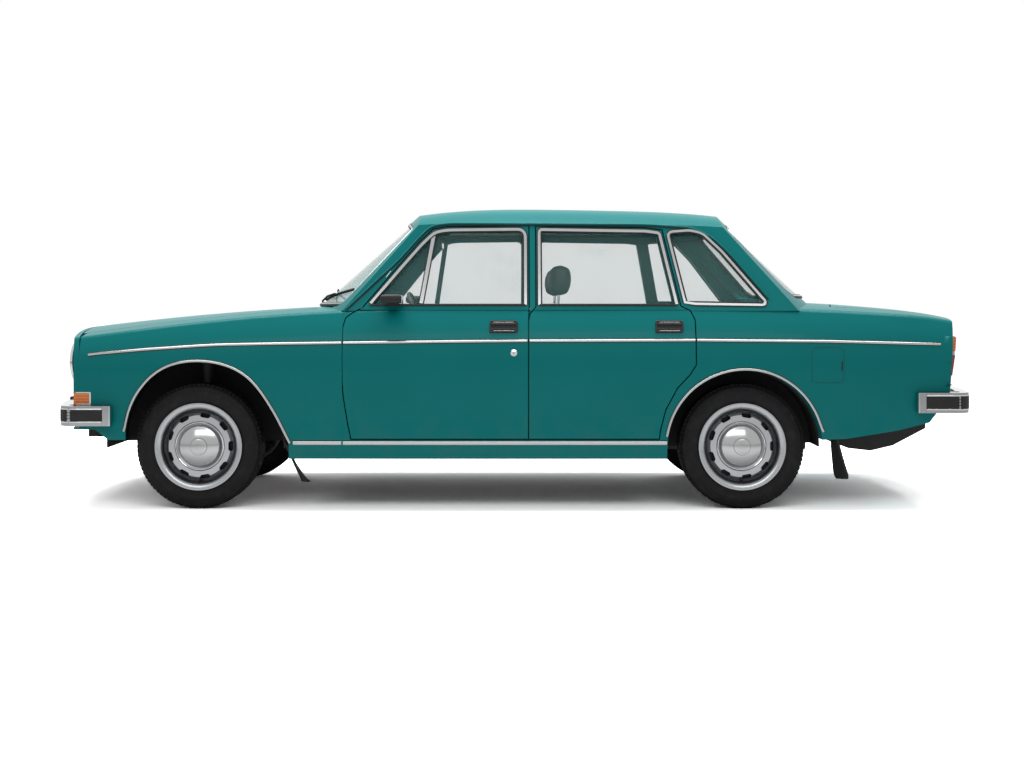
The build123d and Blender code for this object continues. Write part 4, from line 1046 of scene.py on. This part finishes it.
def tread_blocks():
    """Geometry Nodes: rows of tread blocks round a wheel that lies on the origin, with Z as its axle."""
    tree = bpy.data.node_groups.new("tread_blocks", "GeometryNodeTree")
    face = tree.interface
    face.new_socket("Geometry", in_out="OUTPUT", socket_type="NodeSocketGeometry")
    for name, kind, value in (
        ("Radius", "Float", TREAD_RADIUS), ("Height", "Float", 0.0066), ("Length", "Float", 0.0178),
        ("Blocks", "Int", TREAD_BLOCKS),
    ):
        face.new_socket(name, in_out="INPUT", socket_type=f"NodeSocket{kind}").default_value = value
    face.new_socket("Finish", in_out="INPUT", socket_type="NodeSocketMaterial")
    given = add_node(tree, "NodeGroupInput")
    index = add_node(tree, "GeometryNodeInputIndex")
    step = add_node(tree, "ShaderNodeMath", {0: 2 * math.pi, 1: given["Blocks"]}, operation="DIVIDE")
    angle = add_node(tree, "ShaderNodeMath", {0: index[0], 1: step[0]}, operation="MULTIPLY")
    join = tree.nodes.new("GeometryNodeJoinGeometry")
    for row, (along, width) in enumerate(TREAD_ROWS):
        places = {"Vertices": given["Blocks"], "Radius": given["Radius"]}
        ring = add_node(tree, "GeometryNodeMeshCircle", places)
        size = add_node(tree, "ShaderNodeCombineXYZ", {0: given["Height"], 1: given["Length"], 2: width})
        lug = add_node(tree, "GeometryNodeMeshCube", {"Size": size[0]})
        turn = add_node(tree, "ShaderNodeCombineXYZ", {0: 0.3 * (-1) ** row, 2: angle[0]})
        spread = {"Points": ring[0], "Instance": lug[0], "Rotation": turn[0]}
        place = add_node(tree, "GeometryNodeInstanceOnPoints", spread)
        stagger = (0.0, 0.0, row * 0.4 * 2 * math.pi / TREAD_BLOCKS)
        shift = {0: place[0], "Translation": (0.0, 0.0, along), "Rotation": stagger}
        tree.links.new(add_node(tree, "GeometryNodeTransform", shift)[0], join.inputs[0])
    solid = add_node(tree, "GeometryNodeRealizeInstances", {0: join.outputs[0]})
    finish = add_node(tree, "GeometryNodeSetMaterial", {0: solid[0], "Material": given["Finish"]})
    add_node(tree, "NodeGroupOutput", {0: finish[0]})
    return tree


def baked(piece):
    """Turns a piece's modifiers into its own mesh."""
    graph = bpy.context.evaluated_depsgraph_get()
    mesh = bpy.data.meshes.new_from_object(piece.evaluated_get(graph))
    piece.modifiers.clear()
    piece.data = mesh


def made_by(tree, **values):
    """Plain mesh that a Geometry Nodes tree gives."""
    carrier = stand("carrier", bpy.data.meshes.new("carrier"))
    modifier = carrier.modifiers.new("nodes", "NODES")
    modifier.node_group = tree
    for item in tree.interface.items_tree:
        if item.in_out == "INPUT" and item.name in values:
            modifier[item.identifier] = values[item.name]
    baked(carrier)
    mesh = carrier.data
    bpy.data.objects.remove(carrier)
    return mesh


def wheel_work():
    """Tyres with ringed sidewalls and block tread, and each wheel's ring, cap, valve and black disc of
    painted shade behind its slots.
    """
    tread = made_by(tread_blocks(), Finish=TYRE)
    section = SIDEWALL + [(-along, radius) for along, radius in SIDEWALL[::-1]]
    for end, axle in (("front", FRONT_AXLE), ("rear", REAR_AXLE)):
        for side, hand in HANDS:
            body, out = f"wheel_{end}_{side}", (0, hand, 0)
            centre = Vector((axle, TRACK_HALF * hand, HUB_HEIGHT))
            rubber = heap("tyre", TYRE, body)
            hoop(rubber, centre, out, section, 120)
            first = len(rubber.verts)
            rubber.from_mesh(tread)
            rubber.verts.ensure_lookup_table()
            for v in rubber.verts[first:]:
                v.co = centre + Vector((v.co.x, v.co.z, v.co.y))
            round_parts(WHEEL_PARTS, centre, out, body)
            stem = centre + Vector((0.0, 0.0, -0.163))
            turned(heap("valve", SEAL, body), stem, (0, hand, -0.25), VALVE, 14)


headlamp_work()
grille_work()
indicator_work()
bumper_work()
tail_lamp_work()
boot_work()
wheel_work()


# Screens, wipers and mudflaps

WIPER_CAP = pairs(-12, 0, -12, 17, 6, 15, 16, 10, 18, 0)


def screen_loop(low_half, high_half, low, high, peak, turn):
    """Round-cornered outline of a screen, as (y, z) points, anticlockwise seen from the tail."""
    crown = [(y, high + (peak - high) * (1 - (y / high_half) ** 2)) for y in steps(high_half, -high_half, 10)]
    return eased([(0, low), (low_half, low)] + crown + [(-low_half, low), (0, low)], turn)[:-1]


def screen_work():
    """Rubber with a bright insert round the windscreen and the rear window."""
    skin = Skin("screens")
    for loop, way in (
        (screen_loop(0.712, 0.59, 1.006, 1.398, 1.446, 0.03), 1),
        (screen_loop(0.668, 0.562, 1.046, 1.396, 1.436, 0.04), -1),
    ):
        path = [found for found in skin.end(offset_run(loop, 0.007), way) if found[0].x * way < 0.0]
        sweep(heap("screen_rubber", SEAL), path, flat_strip(0.026, 0.0125, 0.004), joined=True)
        bead = shifted(half_round(0.009, 0.003), 0.0, 0.0118)
        sweep(heap("screen_bright", TRIM_STEEL), path, bead, joined=True)


def wiper_work():
    """Two arms with sprung blades, parked on the windscreen, and the washer jets."""
    skin = Skin("screens")
    black = heap("wiper", PLASTIC)
    blade_rubber = heap("wiper_rubber", SEAL)
    for outer, inner, pivot in (
        ((-0.64, 1.088), (-0.19, 1.034), -0.3), ((-0.04, 1.088), (0.41, 1.034), 0.33),
    ):
        line = [Vector(outer).lerp(Vector(inner), t) for t in steps(0.0, 1.0, 12)]
        path = skin.end(line, 1)
        sweep(blade_rubber, path, shifted(flat_strip(0.005, 0.008), 0.0, 0.0008))
        sweep(black, path, shifted(flat_strip(0.0085, 0.0045), 0.0, 0.0085))
        grip, normal = path[6]
        foot = Vector((front(565), pivot, 1.004))
        bend = foot + Vector((-0.006, 0.0, 0.03))
        tube(black, [foot, bend, bend.lerp(grip, 0.5) + normal * 0.016, grip + normal * 0.014], 0.0055, 8)
        turned(black, foot, (0, 0, 1), WIPER_CAP, 20)
    for hand in (-1, 1):
        block(black, (front(470), 0.2 * hand - 0.01, 0.985), (front(492), 0.2 * hand + 0.01, 0.9985), 0.003)


def flap_work():
    """Rubber mudflaps behind the wheels, leaning back towards their rounded feet."""
    for hand in (-1, 1):
        for x, lean, top, foot, inner, outer in (
            (front(430), 0.078, 0.352, 0.136, 0.69, 0.825), (rear(452), 0.016, 0.36, 0.15, 0.68, 0.82),
        ):
            grid = []
            for t in steps(0.0, 1.0, 14):
                rounding = math.sqrt(max(0.1, 1 - max(0.0, (t - 0.8) / 0.2) ** 2))
                half = (outer - inner) / 2 * (1 - 0.1 * t) * rounding
                place = x + lean * t ** 1.5
                tilt = Vector((1.0, 0.0, 1.5 * lean * t ** 0.5 / (top - foot))).normalized()
                middle = (inner + outer) / 2 * hand
                row = []
                for y in steps(-half, half, 8):
                    trail = 0.045 * t * ((y * hand / half + 1) / 2) ** 2
                    row.append((Vector((place + trail, middle + y, top + (foot - top) * t)), tilt))
                grid.append(row)
            slab(heap("mudflap", RUBBER), grid, 0.01)


# Cabin

WINDER_HUB = pairs(-2, 0, -2, 22, 10, 20, 16, 12, 16, 0)
WINDER_KNOB = pairs(0, 0, 0, 11, 22, 13, 28, 9, 29, 0)
RADIO_KNOB = pairs(0, 0, 0, 12, 14, 10, 15, 0)
BOX_LOCK = pairs(0, 0, 0, 12, 6, 11, 7, 0)
DIALS = ((-0.455, 0.046), (-0.35, 0.046), (-0.262, 0.028))


def lay_sheet(what, finish, rows, normal, thickness, body="shell"):
    """Lays an even sheet over rows of ray hits, leaving out each row that has a miss."""
    grid = [[(p, Vector(normal)) for p, _ in row] for row in rows if all(row)]
    slab(heap(what, finish, body), grid, thickness)
    return grid


def lining_work():
    """Headlining, parcel shelf and carpet."""
    roof, deck, pan = Skin("roof"), Skin("rear_deck"), Skin("floor_pan")
    rows = [[roof.meet((x, y, 1.2), (0, 0, 1)) for y in steps(-0.54, 0.54, 14)]
            for x in steps(-0.36, 0.9, 18)]
    lay_sheet("headlining", LINING, rows, (0, 0, -1), 0.008)
    rows = [deck.above([(x, y) for y in steps(-0.52, 0.52, 20)]) for x in steps(rear(66), rear(178), 6)]
    lay_sheet("parcel_shelf", TEAL_CLOTH, rows, (0, 0, 1), 0.004)
    rows = [[pan.meet((x, y, 0.6), (0, 0, -1)) for y in steps(-0.735, 0.735, 42)]
            for x in steps(-0.93, 0.48, 24)]
    lay_sheet("carpet", CARPET, rows, (0, 0, 1), 0.006)


def door_lining(name, hand, low, high, narrow):
    """The card inside a door from x low to x high, narrow at its foot, with armrest, strips and winder."""
    skin = Skin(name)
    rows = []
    for z in steps(0.41, 0.95, 14):
        end = narrow + (high - narrow) * min(1.0, max(0.0, (z - 0.42) / 0.36))
        rows.append([skin.meet((x, 0.0, z), (0, hand, 0)) for x in steps(low, end, 16)])
    grid = lay_sheet("door_card", VINYL, rows, (0, -hand, 0), 0.01, name)
    face = grid[5][5][0].y - 0.01 * hand
    middle = (low + high) / 2
    y0, y1 = sorted((face, face - 0.052 * hand))
    block(heap("door_rest", VINYL, name), (middle - 0.02, y0, 0.655), (middle + 0.27, y1, 0.705), 0.016, 3)
    y0, y1 = sorted((face, face - 0.003 * hand))
    for z in (0.8, 0.56):
        strip = heap("door_strip", CHROME, name)
        block(strip, (low + 0.03, y0, z), (min(high, narrow) - 0.03, y1, z + 0.009), 0.001, 1)
    winder = heap("door_winder", CHROME, name)
    pivot = Vector((middle - 0.11, face, 0.62))
    bends = ((0, 0.014, 0), (0.045, 0.02, 0.022), (0.085, 0.022, 0.04))
    arm = [pivot + Vector((x, -y * hand, z)) for x, y, z in bends]
    turned(winder, pivot, (0, -hand, 0), WINDER_HUB, 24)
    tube(winder, arm, 0.0055)
    turned(winder, arm[-1], (0, -hand, 0), WINDER_KNOB, 18)


def dial(place, normal, radius):
    """A dial with a bright rim, marks and a needle."""
    lip = ((-0.002, 0.0), (0.008, 0.0), (0.01, 0.003), (0.006, 0.005), (-0.002, 0.006))
    rim = [(along, radius - inset) for along, inset in lip]
    face = [(-0.002, 0.0), (-0.002, radius - 0.005), (0.0022, radius - 0.005), (0.0022, 0.0)]
    hoop(heap("dial_rim", CHROME), place, normal, rim, 40)
    turned(heap("dial_face", SEAL), place, normal, face, 40)
    up = Vector((0, 0, 1))
    across = normal.cross(up).normalized()
    # The marks and the needle use lamp lens finishes, so they glow faintly though they are no lamps: painted
    # light.
    for turn in steps(-2.2, 2.2, 12):
        way = up * math.cos(turn) + across * math.sin(turn)
        mark = [place + normal * 0.0026 + way * (radius - inset) for inset in (0.0125, 0.0075)]
        tube(heap("dial_marks", WHITE_LENS), mark, 0.0008, 4)
    way = up * math.cos(-2.1) + across * math.sin(-2.1)
    foot = place + normal * 0.0036
    tube(heap("dial_needle", AMBER), [foot, foot + way * (radius * 0.72)], 0.0009, 4)


def dash_work():
    """Dials, vents, glovebox lid and radio in the dashboard, and the mirror under the roof."""
    skin = Skin("dashboard")
    for y, radius in DIALS:
        dial(*skin.meet((0.3, y, 0.868), (-1, 0, 0)), radius)
    for y in (-0.61, 0.0, 0.61):
        x = skin.meet((0.3, y, 0.895), (-1, 0, 0))[0].x
        for z in steps(-0.018, 0.018, 5):
            vent = heap("dash_vent", SEAL)
            block(vent, (x - 0.004, y - 0.055, 0.893 + z), (x + 0.004, y + 0.055, 0.8955 + z), 0.0008, 1)
    place, _ = skin.meet((0.3, 0.4, 0.84), (-1, 0, 0))
    block(heap("glovebox", PLASTIC), (place.x - 0.012, 0.2, 0.78), (place.x + 0.005, 0.56, 0.862), 0.006)
    turned(heap("glovebox_lock", CHROME), place + Vector((0.004, -0.02, 0.0)), (1, 0, 0), BOX_LOCK, 24)
    x = skin.meet((0.3, 0.0, 0.815), (-1, 0, 0))[0].x
    block(heap("radio", ALLOY), (x - 0.008, -0.09, 0.792), (x + 0.005, 0.09, 0.838), 0.003)
    for y in (-0.072, 0.072):
        turned(heap("radio_knob", PLASTIC), (x + 0.004, y, 0.815), (1, 0, 0), RADIO_KNOB, 20)
    mirror = heap("inner_mirror", PLASTIC)
    block(mirror, (-0.395, -0.11, 1.315), (-0.378, 0.11, 1.372), 0.007, 3)
    block(heap("inner_mirror_glass", CHROME), (-0.3785, -0.104, 1.321), (-0.3765, 0.104, 1.366), 0.0008, 1)
    tube(mirror, [(-0.386, 0.0, 1.365), (-0.395, 0.0, 1.395), (-0.4, 0.0, 1.418)], 0.006)


# Seats

PAD_PRESSURE = 4.0
PAD_FRAMES = 20
PAD_INSET = 0.01
SEAM_WIDTH, SEAM_DEPTH = 0.008, 0.007
CUSHION_X = (front(1235), front(1700))


def puffed(piece, bulge):
    """Blows a piece up as cloth, each point by no more than bulge."""
    scene = bpy.context.scene
    start = [v.co.copy() for v in piece.data.vertices]
    cloth = piece.modifiers.new("cloth", "CLOTH")
    cloth.settings.use_pressure = True
    cloth.settings.uniform_pressure_force = PAD_PRESSURE
    cloth.settings.effector_weights.gravity = 0.0
    for moment in range(1, PAD_FRAMES + 1):
        scene.frame_set(moment)
    baked(piece)
    scene.frame_set(1)
    for v, rest in zip(piece.data.vertices, start):
        moved = v.co - rest
        if moved.length > bulge:
            v.co = rest + moved.normalized() * bulge


def pad(
    name, finish, low, high, lean=0.0, pivot=(0.0, 0.0), ease=0.034, voxel=0.009, bulge=0.024, seams=(),
    facing=(0, 0, 1),
):
    """A stuffed pad, a rounded block blown up as cloth, with sewn seams at some y across its face."""
    work = bmesh.new()
    block(work, [c + PAD_INSET for c in low], [c - PAD_INSET for c in high], ease, 3)
    tilt = Matrix.Rotation(lean, 4, "Y")
    foot = Vector((pivot[0], 0.0, pivot[1]))
    for v in work.verts:
        v.co = tilt @ (v.co - foot) + foot
    mesh = bpy.data.meshes.new(name)
    bmesh.ops.recalc_face_normals(work, faces=work.faces)
    work.to_mesh(mesh)
    work.free()
    piece = stand(name, mesh)
    remesh = piece.modifiers.new("remesh", "REMESH")
    remesh.mode, remesh.voxel_size = "VOXEL", voxel
    baked(piece)
    puffed(piece, bulge)
    face = tilt.to_3x3() @ Vector(facing)
    normals = [v.normal.copy() for v in piece.data.vertices]
    for v, normal in zip(piece.data.vertices, normals):
        if normal.dot(face) > 0.45:
            sunk = max([math.exp(-((v.co.y - seam) / SEAM_WIDTH) ** 2) for seam in seams], default=0.0)
            v.co -= normal * (SEAM_DEPTH * sunk)
    smooth = piece.modifiers.new("smooth", "SUBSURF")
    smooth.levels = smooth.render_levels = 1
    baked(piece)
    piece.data.polygons.foreach_set("use_smooth", [True] * len(piece.data.polygons))
    piece.data.materials.clear()
    piece.data.materials.append(finish)
    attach(piece, "shell")
    return piece


def front_seat(side, y):
    """One front seat with its headrest on posts, frame, rails and hinge bar."""
    ribs = [y + d for d in (-0.13, -0.065, 0.0, 0.065, 0.13)]
    start, end = CUSHION_X
    root = (end, 0.53)
    pad(f"seat_cushion_{side}", CLOTH, (start, y - 0.245, 0.415), (end, y + 0.245, 0.56), seams=ribs)
    pad(f"seat_back_{side}", CLOTH, (front(1645), y - 0.235, 0.52), (front(1752), y + 0.235, 1.04),
        math.radians(12.2), root, seams=ribs, facing=(-1, 0, 0))
    pad(f"headrest_{side}", VINYL, (front(1742), y - 0.14, 1.058), (front(1864), y + 0.14, 1.222),
        math.radians(5), (front(1800), 1.14), ease=0.03, voxel=0.006, bulge=0.012)
    for d in (-0.06, 0.06):
        post = [(front(1796), y + d, 1.02), (front(1800), y + d, 1.09)]
        tube(heap("headrest_post", CHROME), post, 0.006)
    base = heap("seat_frame", PLASTIC)
    block(base, (front(1245), y - 0.225, 0.39), (end, y + 0.225, 0.425), 0.008)
    for d in (-0.185, 0.185):
        block(base, (front(1290), y + d - 0.014, 0.28), (front(1690), y + d + 0.014, 0.3), 0.003)
        for x in (front(1330), front(1640)):
            tube(base, [(x, y + d, 0.296), (x, y + d, 0.395)], 0.011)
    tube(heap("seat_hinge", CHROME), [(end, y - 0.236, 0.53), (end, y + 0.236, 0.53)], 0.012)


def rear_seat():
    """The rear bench on its plinth, with a filler beside each wheelhouse."""
    ribs = [i * 0.085 for i in range(-5, 6)]
    pad("bench_cushion", TEAL_CLOTH, (rear(-638), -0.528, 0.42), (rear(-155), 0.528, 0.562),
        voxel=0.012, seams=ribs)
    for side, hand in HANDS:
        y0, y1 = sorted((0.52 * hand, 0.7 * hand))
        pad(f"bench_side_{side}", TEAL_CLOTH, (rear(-638), y0, 0.42), (rear(-415), y1, 0.56), bulge=0.012)
    pad("bench_back", TEAL_CLOTH, (rear(-162), -0.528, 0.505), (rear(-50), 0.528, 1.0),
        math.radians(11), (rear(-100), 0.505), voxel=0.012, seams=ribs, facing=(-1, 0, 0))
    plinth = heap("bench_plinth", CARPET)
    for y0, y1 in ((-0.69, -0.16), (0.16, 0.69)):
        block(plinth, (rear(-625), y0, 0.282), (rear(-420), y1, 0.43), 0.006)
    block(plinth, (rear(-410), -0.525, 0.5015), (rear(-160), 0.525, 0.52), 0.004)


screen_work()
wiper_work()
flap_work()
lining_work()
for side, hand in HANDS:
    door_lining(f"door_front_{side}", hand, -0.79, 0.055, 0.055)
    door_lining(f"door_rear_{side}", hand, 0.12, 0.85, 0.6)
dash_work()
for side, hand in HANDS:
    front_seat(side, 0.37 * hand)
rear_seat()


# Closing

for name, (work, body, finish) in HEAPS.items():
    settle(name, body, work, finish)
for piece, node in STANDS_FOR.items():
    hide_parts(node)
